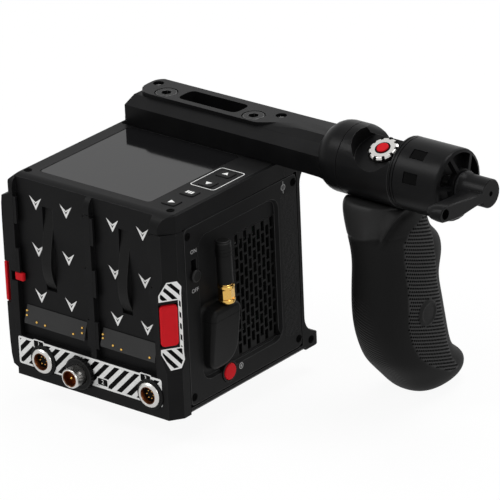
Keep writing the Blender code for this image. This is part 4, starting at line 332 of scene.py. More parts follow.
SILVER = plated("satin_nickel", (0.62, 0.61, 0.59), 0.28)
STEEL = plated("black_steel", (0.05, 0.05, 0.052), 0.4)
BRIGHT_STEEL = plated("ground_steel", (0.4, 0.4, 0.4), 0.3)
GOLD = plated("gold_plate", (0.75, 0.46, 0.12), 0.24)
COPPER = plated("copper_plate", (0.2, 0.07, 0.025), 0.35)
ALUMINIUM = plated("extruded_aluminium", (0.55, 0.55, 0.55), 0.45)
RED = coloured("red_plastic", (0.56, 0.006, 0.012), 0.42, specular=0.1)
WHITE_PRINT = coloured("white_print", (0.8, 0.8, 0.79), 0.55, 0.2 * MM, 0.004 * MM)
GREY_PRINT = coloured("grey_print", (0.35, 0.35, 0.35), 0.55, 0.2 * MM, 0.004 * MM)
BOARD = coloured("solder_mask", (0.01, 0.05, 0.025), 0.45, 1.2 * MM, 0.05 * MM)
SCREEN_GLASS = dark_glass("screen_glass", (0.006, 0.006, 0.0065), 0.05, 1.31)
SENSOR_GLASS = dark_glass("sensor_glass", (0.02, 0.03, 0.035), 0.04, 1.6)
print("other finishes:", len(bpy.data.materials), "materials so far")

# %% [markdown]
# ## Pieces with soft edges
# A solid from the frame has knife edges, and no real edge is that sharp: it is the thin bright line along
# an edge that makes black metal readable. Each visible solid is therefore copied, its loose triangles are
# merged, flat stretches are made whole again, and a Bevel modifier rounds what is left. A Weighted Normal
# modifier then keeps the flat faces flat to the light. The frame itself stays as it is.

# %% Putting a piece into the scene
NODE_BODY = {node: body for body, nodes in frame["record"]["behaviour"]["bodies"].items() for node in nodes}
NODE_SLOT = {row["node"]: row["material_slot"] for row in frame["record"]["subparts"]}


def add_piece(name, mesh, finish, body, slot, *replaced):
    """Put a finished mesh into the scene, on the body that carries it."""
    mesh.name = name
    if finish:
        mesh.materials.clear()
        mesh.materials.append(finish)
    item = bpy.data.objects.new(name, mesh)
    bpy.context.collection.objects.link(item)
    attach(item, body)
    if replaced:
        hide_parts(*replaced)
    return item


print("bodies to ride:", len(set(NODE_BODY.values())))

# %% Clean copies and baking


def to_mesh(shape):
    """A mesh from a bmesh, which is used up."""
    mesh = bpy.data.meshes.new("shape")
    shape.to_mesh(mesh)
    shape.free()
    return mesh


def merged_copy(node):
    """A node's loose triangles as one clean mesh, with its flat faces whole again."""
    source = frame["nodes"][node].data
    mesh = bpy.data.meshes.new(node)
    spots = [tuple(vertex.co) for vertex in source.vertices]
    mesh.from_pydata(spots, [], [tuple(face.vertices) for face in source.polygons])
    shape = bmesh.new()
    shape.from_mesh(mesh)
    bpy.data.meshes.remove(mesh)
    bmesh.ops.remove_doubles(shape, verts=shape.verts, dist=0.001 * MM)
    bmesh.ops.dissolve_limit(shape, angle_limit=radians(0.5), verts=shape.verts, edges=shape.edges)
    return to_mesh(shape)


def baked(mesh, modifiers):
    """The mesh after modifiers, each a kind and its settings."""
    item = bpy.data.objects.new("baking", mesh)
    bpy.context.collection.objects.link(item)
    for kind, settings in modifiers:
        step = item.modifiers.new(kind, kind)
        for key, value in settings.items():
            setattr(step, key, value)
    graph = bpy.context.evaluated_depsgraph_get()
    result = bpy.data.meshes.new_from_object(item.evaluated_get(graph))
    bpy.data.objects.remove(item)
    return result


sample = merged_copy("chassis")
triangles = frame["nodes"]["chassis"].data.polygons
print("chassis:", len(triangles), "triangles,", len(sample.polygons), "clean faces")
bpy.data.meshes.remove(sample)

# %% Soft edges
ROUND_ABOVE, SHARP_ABOVE = radians(30), radians(40)


def softened(mesh, width, segments=2):
    """Round the edges that turn by more than an angle, and shade the rest smooth."""
    if width:
        settings = {"width": width, "segments": segments, "limit_method": 'ANGLE', "angle_limit": ROUND_ABOVE,
                    "use_clamp_overlap": True, "miter_outer": 'MITER_ARC', "harden_normals": False,
                    "material": 1}
        mesh = baked(mesh, [("BEVEL", settings)])
    mesh.shade_smooth()
    mesh.set_sharp_from_angle(angle=SHARP_ABOVE)
    return baked(mesh, [("WEIGHTED_NORMAL", {"keep_sharp": True})])


print("edges are rounded above", round(degrees(ROUND_ABOVE)), "degrees")

# %% [markdown]
# ## Two reshaped solids
# The lugs at the front corners sweep out of the wall and grow thin towards their tips, and the card door
# lies a hair below the panel, so that its face clears the panel's edge when it stands wide open. Both could
# be modelled anew, but moving the corners of the clean copy by a rule keeps everything else in place.

# %% Tapered lugs and sunk door
SIDE_X, LUG_END, TOP_Z = (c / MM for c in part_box("chassis")[1])
LUG_START, LUG_TAPER, LUG_REACH = 41.6, 0.34, 16
DOOR_SETBACK = 0.1 * MM


def taper_lugs(mesh):
    """Draw the front corner lugs in towards their tips, so that they sweep out of the wall."""
    for vertex in mesh.vertices:
        x, y, z = vertex.co / MM
        across, upward = SIDE_X - abs(x), min(z, TOP_Z - z)
        if y > LUG_START and across < LUG_REACH and upward < LUG_REACH:
            shrink = 1 - LUG_TAPER * (y - LUG_START) / (LUG_END - LUG_START)
            vertex.co.x = copysign(SIDE_X - across * shrink, x) * MM
            vertex.co.z = (upward * shrink if z < TOP_Z / 2 else TOP_Z - upward * shrink) * MM


def sink_door(mesh):
    """Set the card door's outer face a little back."""
    for vertex in mesh.vertices:
        if vertex.co.x < DOOR_SETBACK - SIDE_X * MM:
            vertex.co.x += DOOR_SETBACK


RESHAPE = {"chassis": taper_lugs, "media_door": sink_door}
print("reshaped:", ", ".join(RESHAPE))

# %% [markdown]
# ## Dressing the solids
# On the real camera each casting, panel and button has its own coat. A finish could be picked by hand for
# each object. A table of nodes, finishes and edge widths in millimetres shows at a glance which pieces
# share a coat, and one loop dresses them all. The second material goes on the rounded edges.

# %% Dressed solids


def dress(node, finish, width):
    mesh = merged_copy(node)
    if node in RESHAPE:
        RESHAPE[node](mesh)
    mesh.materials.append(finish)
    # The rounded edges get the paler edge finish: wear and a painted highlight.
    mesh.materials.append(EDGE_WEAR_AND_HIGHLIGHT.get(finish.name, finish))
    mesh = softened(mesh, width)
    add_piece("dressed_" + node, mesh, None, NODE_BODY[node], NODE_SLOT[node], node)


DRESSING = {
    "chassis": (POWDER_COAT, 0.4), "top_cover": (POWDER_COAT, 0.35), "rear_housing": (POWDER_COAT, 0.35),
    "right_side_panel": (PANEL_COAT, 0.4), "left_side_panel": (POWDER_COAT, 0.3),
    "media_door": (POWDER_COAT, 0.3), "base_plate": (ANODISED, 0.3),
    "lens_mount_ring": (SILVER, 0.2), "lens_lock_pin": (BRIGHT_STEEL, 0.2),
    "lens_release_button": (PLASTIC, 0.2), "bay_spring_left": (PLASTIC, 0.15),
    "bay_spring_right": (PLASTIC, 0.15),
    "contact_block_left": (CONTACT_GREY, 0.2), "contact_block_right": (CONTACT_GREY, 0.2),
    "release_left": (RED, 0.2), "release_right": (RED, 0.3),
    "latch_tab_left": (RED, 0.2), "latch_tab_right": (RED, 0.2),
    "round_socket_left": (SILVER, 0.25), "round_socket_right": (SILVER, 0.25),
    "coax_flange": (PLASTIC, 0.3), "coax_socket": (SILVER, 0.2),
    "vent_grille": (PLASTIC, 0.0), "record_ring": (PLASTIC, 0.15), "record_button": (RED, 0.2),
    "power_slider": (PLASTIC, 0.2), "antenna_nut": (GOLD, 0.15), "antenna_sleeve": (PLASTIC, 0.2),
    "screen_glass": (SCREEN_GLASS, 0.1), "play_button": (RUBBER, 0.2), "select_button": (RUBBER, 0.2),
    "down_button": (RUBBER, 0.2), "up_button": (RUBBER, 0.2), "handle_beam": (ANODISED, 0.45),
    "beam_bolt_left": (BLACK_OXIDE, 0.25), "beam_bolt_right": (BLACK_OXIDE, 0.25),
    "grip_head": (ANODISED, 0.4), "clamp_collar": (ANODISED, 0.4), "clamp_lever": (ANODISED, 0.5),
    "trigger_bezel": (SILVER, 0.2), "trigger_button": (RED, 0.2),
    "audio_jack_low": (PLASTIC, 0.15), "audio_jack_high": (PLASTIC, 0.15),
}
for node, (finish, width) in DRESSING.items():
    dress(node, finish, width * MM)
print("dressed", len(DRESSING), "solids")

# %% [markdown]
# ## What shows inside
# Through the vent, the open door and the lens mount one sees boards, a fan and a heat sink. They could be
# dressed like the rest, but little light reaches them, so the frame's own solids only get a finish.

# %% Finishes of the solids inside
INSIDE = {
    "display_panel": BLACK_AND_PAINTED_SHADE, "sensor_block": BOARD, "sensor_glass": SENSOR_GLASS, "main_board": BOARD,
    "heat_sink": ALUMINIUM, "fan_frame": PLASTIC, "fan_rotor": PLASTIC, "card_reader": PLASTIC,
    "door_pin": BRIGHT_STEEL, "pivot_shaft": BRIGHT_STEEL, "thrust_washer": STEEL,
}
for node, finish in INSIDE.items():
    frame["nodes"][node].data.materials.clear()
    frame["nodes"][node].data.materials.append(finish)
print("painted", len(INSIDE), "solids inside")

# %% [markdown]
# ## Shapes for the small pieces
# Screws, pins, rings and washers are turned on a lathe, and prints are thin plates. The Screw modifier
# could turn a profile, but a few lines that lay rings of corners around an axis place the shape at the same
# time. All of these shapes are closed, and they sink a hair into what carries them, so that no light gets
# under them.

# %% Places
EAST, NORTH, UP = Vector((1, 0, 0)), Vector((0, 1, 0)), Vector((0, 0, 1))


def point(x, y, z):
    """A place given in millimetres."""
    return Vector((x, y, z)) * MM


def corners(node):
    """The lowest and the highest corner of a node's box, in millimetres."""
    return [Vector(corner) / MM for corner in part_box(node)]


def middle(node):
    """The middle of a node's box, in millimetres."""
    low, high = corners(node)
    return (low + high) / 2


print("middle of the lens mount:", [round(c, 2) for c in middle("lens_mount_ring")])

# %% Turned shapes


def ringed(shape, rings, tube):
    """Skin rings of corners, and close them into a tube or with end faces."""
    pairs = list(zip(rings, rings[1:]))
    if tube:
        pairs.append((rings[-1], rings[0]))
    for lower, upper in pairs:
        count = max(len(lower), len(upper))
        for here in range(count):
            there = (here + 1) % count
            face = [lower[here % len(lower)], lower[there % len(lower)], upper[there % len(upper)],
                    upper[here % len(upper)]]
            shape.faces.new(list(dict.fromkeys(face)))
    if not tube:
        for end in (rings[0], rings[-1]):
            if len(end) > 2:
                shape.faces.new(end)


def lathe(shape, profile, origin, axis, sides=24, tube=False, hexed=()):
    """Turn a profile of (radius, height) in millimetres; the rings listed in hexed are six-sided."""
    axis = axis.normalized()
    side = axis.orthogonal().normalized()
    other = axis.cross(side)
    rings = []
    for index, (radius, height) in enumerate(profile):
        ring = []
        for step in range(sides if radius else 1):
            angle = 2 * pi * step / sides
            reach = radius
            if index in hexed:
                reach = radius * cos(pi / 6) / cos(angle % (pi / 3) - pi / 6)
            ring.append(shape.verts.new(origin + axis * height * MM
                                        + (side * cos(angle) + other * sin(angle)) * reach * MM))
        rings.append(ring)
    ringed(shape, rings, tube)
    return shape


print("lathe: a profile of radii and heights, round or six-sided")

# %% Thin plates
SINK, PRINT = 0.05 * MM, 0.03 * MM


def plate(shape, outline, origin, across, upward, top=PRINT, low=-SINK, hole=None):
    """A plate whose outline lies across and upward of an origin, in millimetres, with at most one hole."""
    normal = across.cross(upward)

    def level(points, height):
        return [shape.verts.new(origin + across * (u * MM) + upward * (v * MM) + normal * height)
                for u, v in points]

    rings = [level(outline, low), level(outline, top)]
    if hole:
        ringed(shape, rings + [level(hole, top), level(hole, low)], True)
    else:
        ringed(shape, rings, False)
    return shape


def finished(shape):
    """A mesh from a bmesh, with its faces turned outwards and its round sides smooth."""
    bmesh.ops.recalc_face_normals(shape, faces=shape.faces)
    mesh = to_mesh(shape)
    mesh.shade_smooth()
    mesh.set_sharp_from_angle(angle=radians(35))
    return mesh


print("plates are", PRINT / MM, "mm thick as prints and sink", SINK / MM, "mm")

# %% Outlines


def round_outline(u, v, radius, sides=32):
    turns = [2 * pi * step / sides for step in range(sides)]
    return [(u + radius * cos(turn), v + radius * sin(turn)) for turn in turns]


def quarter_round(u, v, radius, quarter, steps):
    """A quarter of a circle around a centre; quarter 0 is the upper right one."""
    turns = [pi / 2 * (quarter + step / steps) for step in range(steps + 1)]
    return [(u + radius * cos(turn), v + radius * sin(turn)) for turn in turns]


def box_outline(low_u, low_v, high_u, high_v, corner=0.0):
    """A rectangle, with rounded corners if it has a corner radius."""
    if not corner:
        return [(low_u, low_v), (high_u, low_v), (high_u, high_v), (low_u, high_v)]
    points = []
    centres = ((high_u - corner, high_v - corner), (low_u + corner, high_v - corner),
               (low_u + corner, low_v + corner), (high_u - corner, low_v + corner))
    for quarter, (u, v) in enumerate(centres):
        points += quarter_round(u, v, corner, quarter, 4)
    return points


print("a rounded box has", len(box_outline(0, 0, 1, 1, 0.2)), "corners")

# %% [markdown]
# ## One tree for all repeats
# Screws, arrows and the pits of the grip are one shape set down many times. A Python loop could copy them,
# but Geometry Nodes do it in one tree: a cloud of points carries the direction each copy faces, and the
# tree puts the template on every point, makes the copies real and gives them their finish. The result is
# baked to one mesh.

# %% The repeating tree


def repeat_tree():
    tree = bpy.data.node_groups.new("repeat_on_points", 'GeometryNodeTree')
    inputs = {"Points": "Geometry", "Template": "Object", "Finish": "Material", "Size": "Float"}
    for name, kind in inputs.items():
        tree.interface.new_socket(name, in_out='INPUT', socket_type="NodeSocket" + kind)
    tree.interface.new_socket("Copies", in_out='OUTPUT', socket_type="NodeSocketGeometry")
    source = tree.nodes.new("NodeGroupInput")
    template = tree.nodes.new("GeometryNodeObjectInfo")
    facing = tree.nodes.new("GeometryNodeInputNamedAttribute")
    facing.data_type = 'FLOAT_VECTOR'
    facing.inputs["Name"].default_value = "facing"
    turning = tree.nodes.new("FunctionNodeAlignRotationToVector")
    turning.axis = 'Z'
    copies = tree.nodes.new("GeometryNodeInstanceOnPoints")
    real = tree.nodes.new("GeometryNodeRealizeInstances")
    coat = tree.nodes.new("GeometryNodeSetMaterial")
    result = tree.nodes.new("NodeGroupOutput")
    for start, end in (
            (source.outputs["Points"], copies.inputs["Points"]),
            (source.outputs["Template"], template.inputs["Object"]),
            (template.outputs["Geometry"], copies.inputs["Instance"]),
            (facing.outputs["Attribute"], turning.inputs["Vector"]),
            (turning.outputs["Rotation"], copies.inputs["Rotation"]),
            (source.outputs["Size"], copies.inputs["Scale"]),
            (copies.outputs["Instances"], real.inputs["Geometry"]),
            (real.outputs["Geometry"], coat.inputs["Geometry"]),
            (source.outputs["Finish"], coat.inputs["Material"]),
            (coat.outputs["Geometry"], result.inputs["Copies"])):
        tree.links.new(start, end)
    return tree


REPEAT = repeat_tree()
print("repeat tree:", len(REPEAT.nodes), "nodes")

# %% Copies on points


def repeated(template, places, finish, size=1.0):
    """One mesh of copies of a template, set on (place, facing) pairs; its own up is Z."""
    pattern = bpy.data.objects.new("template", template)
    bpy.context.collection.objects.link(pattern)
    cloud = bpy.data.meshes.new("points")
    cloud.from_pydata([tuple(place) for place, facing in places], [], [])
    facings = cloud.attributes.new("facing", 'FLOAT_VECTOR', 'POINT')
    facings.data.foreach_set("vector", [c for place, facing in places for c in facing])
    carrier = bpy.data.objects.new("carrier", cloud)
    bpy.context.collection.objects.link(carrier)
    modifier = carrier.modifiers.new("repeat", 'NODES')
    modifier.node_group = REPEAT
    values = {"Template": pattern, "Finish": finish, "Size": size}
    for item in REPEAT.interface.items_tree:
        if item.name in values:
            modifier[item.identifier] = values[item.name]
    graph = bpy.context.evaluated_depsgraph_get()
    mesh = bpy.data.meshes.new_from_object(carrier.evaluated_get(graph))
    bpy.data.objects.remove(carrier)
    bpy.data.objects.remove(pattern)
    return mesh


print("inputs:", [item.name for item in REPEAT.interface.items_tree if item.in_out == 'INPUT'])

# %% [markdown]
# ## Screws
# The housing is screwed together with black socket screws: in the side panel's corners, in the top cover,
# in the base plate, around the lens mount and in the beam. Each is a flat turned head with a six-sided
# recess. They could be cut into the solids, but as one turned head on many points they cost few faces and
# are easily moved.

# %% Socket screws
MOUNT_Y, MOUNT_Z = corners("lens_mount_ring")[1].y, middle("lens_mount_ring").z
MOUNT_RADIUS = 29.2
PANEL_SCREWS = ((-37.2, 84.6), (-37.4, 7.4), (36.8, 84.6), (36.8, 7.6))
profile = [(1.9, -0.1), (1.9, 0.06), (1.7, 0.2), (0.95, 0.22), (0.9, 0.03), (0, 0.03)]
screw = finished(lathe(bmesh.new(), profile, Vector(), UP, hexed=(3, 4)))
housing_screws = [(point(SIDE_X, y, z), EAST) for y, z in PANEL_SCREWS]
housing_screws += [(point(side * SIDE_X, 45.6, z), side * EAST) for side in (-1, 1) for z in (3.9, 93.9)]
housing_screws += [(point(-SIDE_X, y, z), -EAST) for y, z in PANEL_SCREWS]
housing_screws += [(point(x, y, TOP_Z), UP) for x, y in ((41.6, -42.0), (-40.9, -42.0), (-40.9, 25.4))]
housing_screws += [(point(x, y, 0), -UP) for x in (-27, 27) for y in (-25, 25)]
mount_screws = [(point(MOUNT_RADIUS * cos(turn), MOUNT_Y, MOUNT_Z + MOUNT_RADIUS * sin(turn)), NORTH)
                for turn in (0.9, 2.25, 4.04, 5.38)]
beam_screws = [(point(x, 43.2, 111.2), UP) for x in (-35.6, 36.0)]
# The housing screws are near-black: black heads, with painted shade of their countersinks.
add_piece("housing_screws", repeated(screw, housing_screws, BLACK_AND_PAINTED_SHADE), None, "camera", "steel")
add_piece("mount_screws", repeated(screw, mount_screws, BRIGHT_STEEL, 0.6), None, "camera", "steel")
add_piece("beam_screws", repeated(screw, beam_screws, BRIGHT_STEEL, 0.75), None, "camera", "steel")
print("screws:", len(housing_screws) + len(mount_screws) + len(beam_screws))

# %% [markdown]
# ## The mask around the sensor
# Behind the lens mount everything but the sensor is black, so that no stray light reaches it. A plate with
# a window lies on the sensor block. A boolean could cut the window, but a plate with an outline and a hole
# of as many corners is closed from the start.

# %% Sensor mask
WINDOW_GAP, MASK_INSET = 0.2, 0.5
block_low, block_high = corners("sensor_block")
glass_low, glass_high = corners("sensor_glass")
window = box_outline(glass_low.x - WINDOW_GAP, glass_low.z - WINDOW_GAP,
                     glass_high.x + WINDOW_GAP, glass_high.z + WINDOW_GAP, 0.6)
border = box_outline(block_low.x + MASK_INSET, block_low.z + MASK_INSET,
                     block_high.x - MASK_INSET, block_high.z - MASK_INSET, 3.0)
mask = plate(bmesh.new(), [(-u, v) for u, v in border], point(0, block_high.y, 0), -EAST, UP, 0.3 * MM,
             hole=[(-u, v) for u, v in window])
add_piece("sensor_mask", finished(mask), BLACK_AND_PAINTED_SHADE, "camera", "board")
print("sensor mask at", round(block_high.y, 2))

# %% [markdown]
# ## Arrows in the battery bays
# White arrows in both bays show which way a battery slides in. They could be painted by a shader, but as
# plates they keep crisp edges. Each is a hollow dart, two plates that meet at their corners, repeated by
# the same tree.

# %% Bay arrows
FLOOR_Y = -48.0
dart = bmesh.new()
plate(dart, [(-3.5, 6.3), (0, 0), (3.5, 6.3), (1.8, 5.0), (0, 2.0), (-1.8, 5.0)], Vector(), EAST, NORTH)
plate(dart, [(-1.8, 5.0), (-1.5, 4.3), (0, 3.0), (1.5, 4.3), (1.8, 5.0), (0, 3.75)], Vector(), EAST, NORTH)
arrow_places = [(point(x, FLOOR_Y, z), -NORTH)
                for x in (-32.1, -14.3, 12.7, 30.0) for z in (82.7, 60.0, 37.4)]
add_piece("bay_arrows", repeated(finished(dart), arrow_places, WHITE_PRINT), None, "camera", "housing")
print("arrows:", len(arrow_places))

# %% [markdown]
# ## Liners of the bays
# The floor of each bay runs without a break up to the top cover, although two castings meet there. The
# solids could be merged, but they stay apart as on the bench, and a thin liner lies over the joint.

# %% Bay liners
liners = bmesh.new()
BAYS = ((-41.5, -2.6), (2.6, 37.0))
for low_x, high_x in BAYS:
    plate(liners, box_outline(low_x, 88.0, high_x, 96.2), point(0, FLOOR_Y, 0), EAST, UP, PRINT / 2)
add_piece("bay_liners", finished(liners), POWDER_COAT, "camera", "housing")
print("bay liners:", len(BAYS))

# %% [markdown]
# ## Diagonal stripes
# A striped band runs behind the sockets and a smaller one frames the battery release. A stripe pattern
# could be a shader, but here every stripe is a thin plate clipped to its band, so its edges stay crisp at
# any size. Plain numbers in small boxes tell the sockets apart.

# %% Clipped stripes


def clipped(outline, window):
    """What lies of an outline inside a convex window, both in counter-clockwise order."""
    for index, (u1, v1) in enumerate(window):
        u0, v0 = window[index - 1]
        kept = []
        for place, (u, v) in enumerate(outline):
            before = outline[place - 1]
            inside = (u1 - u0) * (v - v0) - (v1 - v0) * (u - u0)
            outside = (u1 - u0) * (before[1] - v0) - (v1 - v0) * (before[0] - u0)
            if inside * outside < 0:
                share = outside / (outside - inside)
                kept.append((before[0] + (u - before[0]) * share, before[1] + (v - before[1]) * share))
            if inside >= 0:
                kept.append((u, v))
        outline = kept
    return outline


def stripes(shape, window, origin, across, upward, period, lean):
    """Dark leaning stripes within a convex window, in step with those of its neighbours."""
    low_v, high_v = min(v for u, v in window), max(v for u, v in window)
    footings = [u - lean * v for u, v in window]
    for index in range(int(min(footings) // period), ceil(max(footings) / period)):
        low_u, high_u = index * period + lean * low_v, index * period + lean * high_v
        band = [(low_u, low_v), (low_u + period / 2, low_v), (high_u + period / 2, high_v), (high_u, high_v)]
        band = clipped(band, window)
        if len(band) > 2:
            plate(shape, band, origin, across, upward, 2 * PRINT)


sample = clipped(box_outline(0, 0, 2, 2), box_outline(1, 1, 3, 3))
print("two boxes share the corners", sample)

# %% The band behind the sockets
REAR_Y = corners("rear_housing")[0].y
SOCKETS = [middle("round_socket_" + side).xz for side in ("left", "right")]
NUMBERS = {"1": (-33.0, 17.7), "2": (4.4, 8.9), "3": (29.8, 17.7)}
foot = point(0, REAR_Y, 0)
pale = plate(bmesh.new(), box_outline(-45.2, 5.7, 39.0, 19.2, 1.0), foot, EAST, UP)
dark = bmesh.new()
stripes(dark, box_outline(-44.2, 6.7, 38.0, 18.2), foot, EAST, UP, period=5.8, lean=0.97)
for u, v in SOCKETS:
    plate(dark, round_outline(u, v, 7.5), foot, EAST, UP, 3 * PRINT)
for u, v in NUMBERS.values():
    plate(pale, box_outline(u - 3.3, v - 2.1, u + 3.3, v + 2.1, 0.7), foot, EAST, UP, 4 * PRINT)
    plate(dark, box_outline(u - 2.8, v - 1.6, u + 2.8, v + 1.6, 0.5), foot, EAST, UP, 5 * PRINT)
print("socket band:", len(dark.faces), "dark faces")

# %% The band around the release
ALONG = Vector((0.5642, 0.8257, 0))
UPPER_SLOPE = Vector((0.2554, -0.1746, 0.9508))
LOWER_SLOPE = Vector((-0.2554, 0.1746, 0.9508))
corner_top, corner_low = point(39.03, REAR_Y, 59.5), point(39.03, REAR_Y, 31.0)
CORNER_BAND = (
    ([(0.5, 0), (10.9, 0), (10.9, 3.6), (8.7, 7.0), (3.9, 7.0)],
     [(1.2, 0), (10.2, 0), (10.2, 3.4), (8.4, 6.3), (4.2, 6.3)], corner_top, UPPER_SLOPE),
    ([(0.5, -3.2), (10.9, -3.2), (10.9, 0), (0.5, 0)],
     [(1.2, -2.6), (10.2, -2.6), (10.2, 0), (1.2, 0)], corner_top, UP),
    ([(9.3, -25.9), (10.9, -25.9), (10.9, -3.2), (9.3, -3.2)],
     [(9.7, -25.9), (10.5, -25.9), (10.5, -3.4), (9.7, -3.4)], corner_top, UP),
    ([(0.5, 0), (10.9, 0), (10.9, 2.6), (0.5, 2.6)],
     [(1.2, 0), (10.2, 0), (10.2, 2.0), (1.2, 2.0)], corner_low, UP),
    ([(0.6, 0), (4.0, -7.4), (8.9, -7.0), (10.9, -3.4), (10.9, 0)],
     [(1.2, 0), (4.3, -6.7), (8.5, -6.4), (10.2, -3.2), (10.2, 0)], corner_low, LOWER_SLOPE),
)
for outline, window, origin, upward in CORNER_BAND:
    plate(pale, outline, origin, ALONG, upward)
    stripes(dark, window, origin, ALONG, upward, period=4.6, lean=-0.85)
add_piece("stripes_pale", finished(pale), WHITE_PRINT, "camera", "housing")
add_piece("stripes_dark", finished(dark), GLOSS_BLACK, "camera", "housing")
print("striped faces:", len(CORNER_BAND) + 1)

# %% [markdown]
# ## Words and signs
# The slider is marked ON and OFF, the sockets carry plain numbers, the buttons triangles and bars, and a
# circle with a line marks the plane of the sensor. They could be images, but letters come from a text curve
# with a little thickness, turned into a mesh at once, so that nothing depends on fonts later, and the signs
# are plates.

# %% Lettering
SIZE_OF_CAPITALS = 1.4


def lettering(text, height, origin, across, upward):
    """Words as a closed mesh, centred on a place, with capitals of about that height in millimetres."""
    curve = bpy.data.curves.new("lettering", 'FONT')
    curve.body = text
    curve.size = height * SIZE_OF_CAPITALS * MM
    curve.align_x = 'CENTER'
    curve.align_y = 'CENTER'
    curve.extrude = SINK
    item = bpy.data.objects.new("lettering", curve)
    bpy.context.collection.objects.link(item)
    graph = bpy.context.evaluated_depsgraph_get()
    mesh = bpy.data.meshes.new_from_object(item.evaluated_get(graph))
    bpy.data.objects.remove(item)
    turn = Matrix((across, upward, across.cross(upward))).transposed().to_4x4()
    mesh.transform(Matrix.Translation(origin) @ turn)
    return mesh


NUMBER_Y = REAR_Y - 0.14
for text, (u, v) in NUMBERS.items():
    mesh = lettering(text, 2.1, point(u, NUMBER_Y, v), EAST, UP)
    add_piece("socket_number_" + text, mesh, WHITE_PRINT, "camera", "housing")
for text, z in (("ON", 76.4), ("OFF", 57.8)):
    mesh = lettering(text, 1.9, point(SIDE_X, -33.6, z), NORTH, UP)
    add_piece("power_word_" + text, mesh, GREY_PRINT, "camera", "housing")
print("numbers:", ", ".join(NUMBERS))

# %% Signs on the housing
signs = bmesh.new()
mark = point(SIDE_X, 29.7, 84.5)
plate(signs, round_outline(0, 0, 1.55), mark, NORTH, UP, hole=round_outline(0, 0, 1.15))
plate(signs, box_outline(-0.2, -2.9, 0.2, 2.9), mark, NORTH, UP)
beside = point(SIDE_X, -4.6, 10.2)
plate(signs, round_outline(0, 0, 1.5), beside, NORTH, UP, hole=round_outline(0, 0, 1.1))
plate(signs, round_outline(0, 0, 0.6), beside, NORTH, UP)
add_piece("side_signs", finished(signs), GREY_PRINT, "camera", "housing")
border = box_outline(29.4, -14.6, 43.4, 8.2, 1.6)
button_frame = plate(bmesh.new(), border, point(0, 0, TOP_Z), EAST, NORTH,
                     hole=box_outline(29.8, -14.2, 43.0, 7.8, 1.2))
add_piece("button_frame", finished(button_frame), WHITE_PRINT, "camera", "housing")
print("signs: sensor plane, record, button frame")

# %% Signs on the buttons
ICONS = {
    "play": [[(-1.2, -1.5), (1.8, 0), (-1.2, 1.5)]],
    "select": [box_outline(low, -1.2, low + 1.0, 1.2) for low in (-1.9, -0.5, 0.9)],
    "down": [[(-1.7, 1.0), (0, -1.6), (1.7, 1.0)]],
    "up": [[(-1.7, -1.0), (1.7, -1.0), (0, 1.6)]],
}
for button, outlines in ICONS.items():
    centre = middle(button + "_button")
    centre.z = corners(button + "_button")[1].z
    icon = bmesh.new()
    for outline in outlines:
        plate(icon, outline, point(*centre), EAST, NORTH)
    add_piece(button + "_icon", finished(icon), WHITE_PRINT, button, "rubber")
print("signs on", len(ICONS), "buttons")

# %% [markdown]
# ## Sockets and contacts
# Inside each silver socket sits a copper-coloured insert with gold pins, and the sloped blocks in the bays
# carry spring pins. A bump could only hint at them. They are turned instead, each no bigger than a match
# head, because they catch the light, and the knurl and the spring pins come from the repeating tree.

# %% Round sockets
PINS_RADIUS = 1.9 * MM
copper = bmesh.new()
gold = bmesh.new()
washers = bmesh.new()
for u, v in SOCKETS:
    centre = point(u, REAR_Y, v)
    insert = [(4.05, -4.0), (4.05, 1.8), (3.8, 2.0), (3.6, 1.6), (3.4, -1.6), (0, -1.6)]
    lathe(copper, insert, centre, -NORTH, 32)
    for step in range(6):
        pin = centre + (EAST * cos(step * pi / 3) + UP * sin(step * pi / 3)) * PINS_RADIUS
        lathe(gold, [(0.42, -1.8), (0.42, 0.2), (0.2, 0.5), (0, 0.5)], pin, -NORTH, 10)
    ring = [(6.1, -0.05), (7.3, -0.05), (7.3, 0.5), (7.0, 0.8), (6.1, 0.8)]
    lathe(washers, ring, centre, -NORTH, 40, tube=True)
print("round sockets:", len(SOCKETS))

# %% Coaxial socket
TEETH, FLANGE_RADIUS = 30, 7.4 * MM
coax = point(middle("coax_socket").x, REAR_Y, middle("coax_socket").z)
lathe(copper, [(3.85, 1.0), (3.85, 8.2), (3.5, 8.3), (3.4, 7.8), (3.3, 5.2), (0, 5.2)], coax, -NORTH, 32)
lathe(gold, [(0.6, 5.0), (0.6, 7.2), (0.3, 7.6), (0, 7.6)], coax, -NORTH, 12)
studs = bmesh.new()
for turn in (0.6, 0.6 + pi):
    outward = EAST * cos(turn) + UP * sin(turn)
    lathe(studs, [(0.7, 4.6), (0.7, 5.3), (0.5, 5.5), (0, 5.5)], coax - NORTH * 5.6 * MM, outward, 14)
teeth = bmesh.new()
plate(teeth, box_outline(-0.5, -1.1, 0.5, 1.1), Vector(), EAST, NORTH, 0.35 * MM, -0.2 * MM)
knurl = []
for step in range(TEETH):
    turn = 2 * pi * step / TEETH
    outward = EAST * cos(turn) + UP * sin(turn)
    knurl.append((coax - NORTH * 1.45 * MM + outward * FLANGE_RADIUS, outward))
add_piece("coax_knurl", repeated(finished(teeth), knurl, PLASTIC), None, "camera", "plastic")
print("teeth of the knurl:", len(knurl))

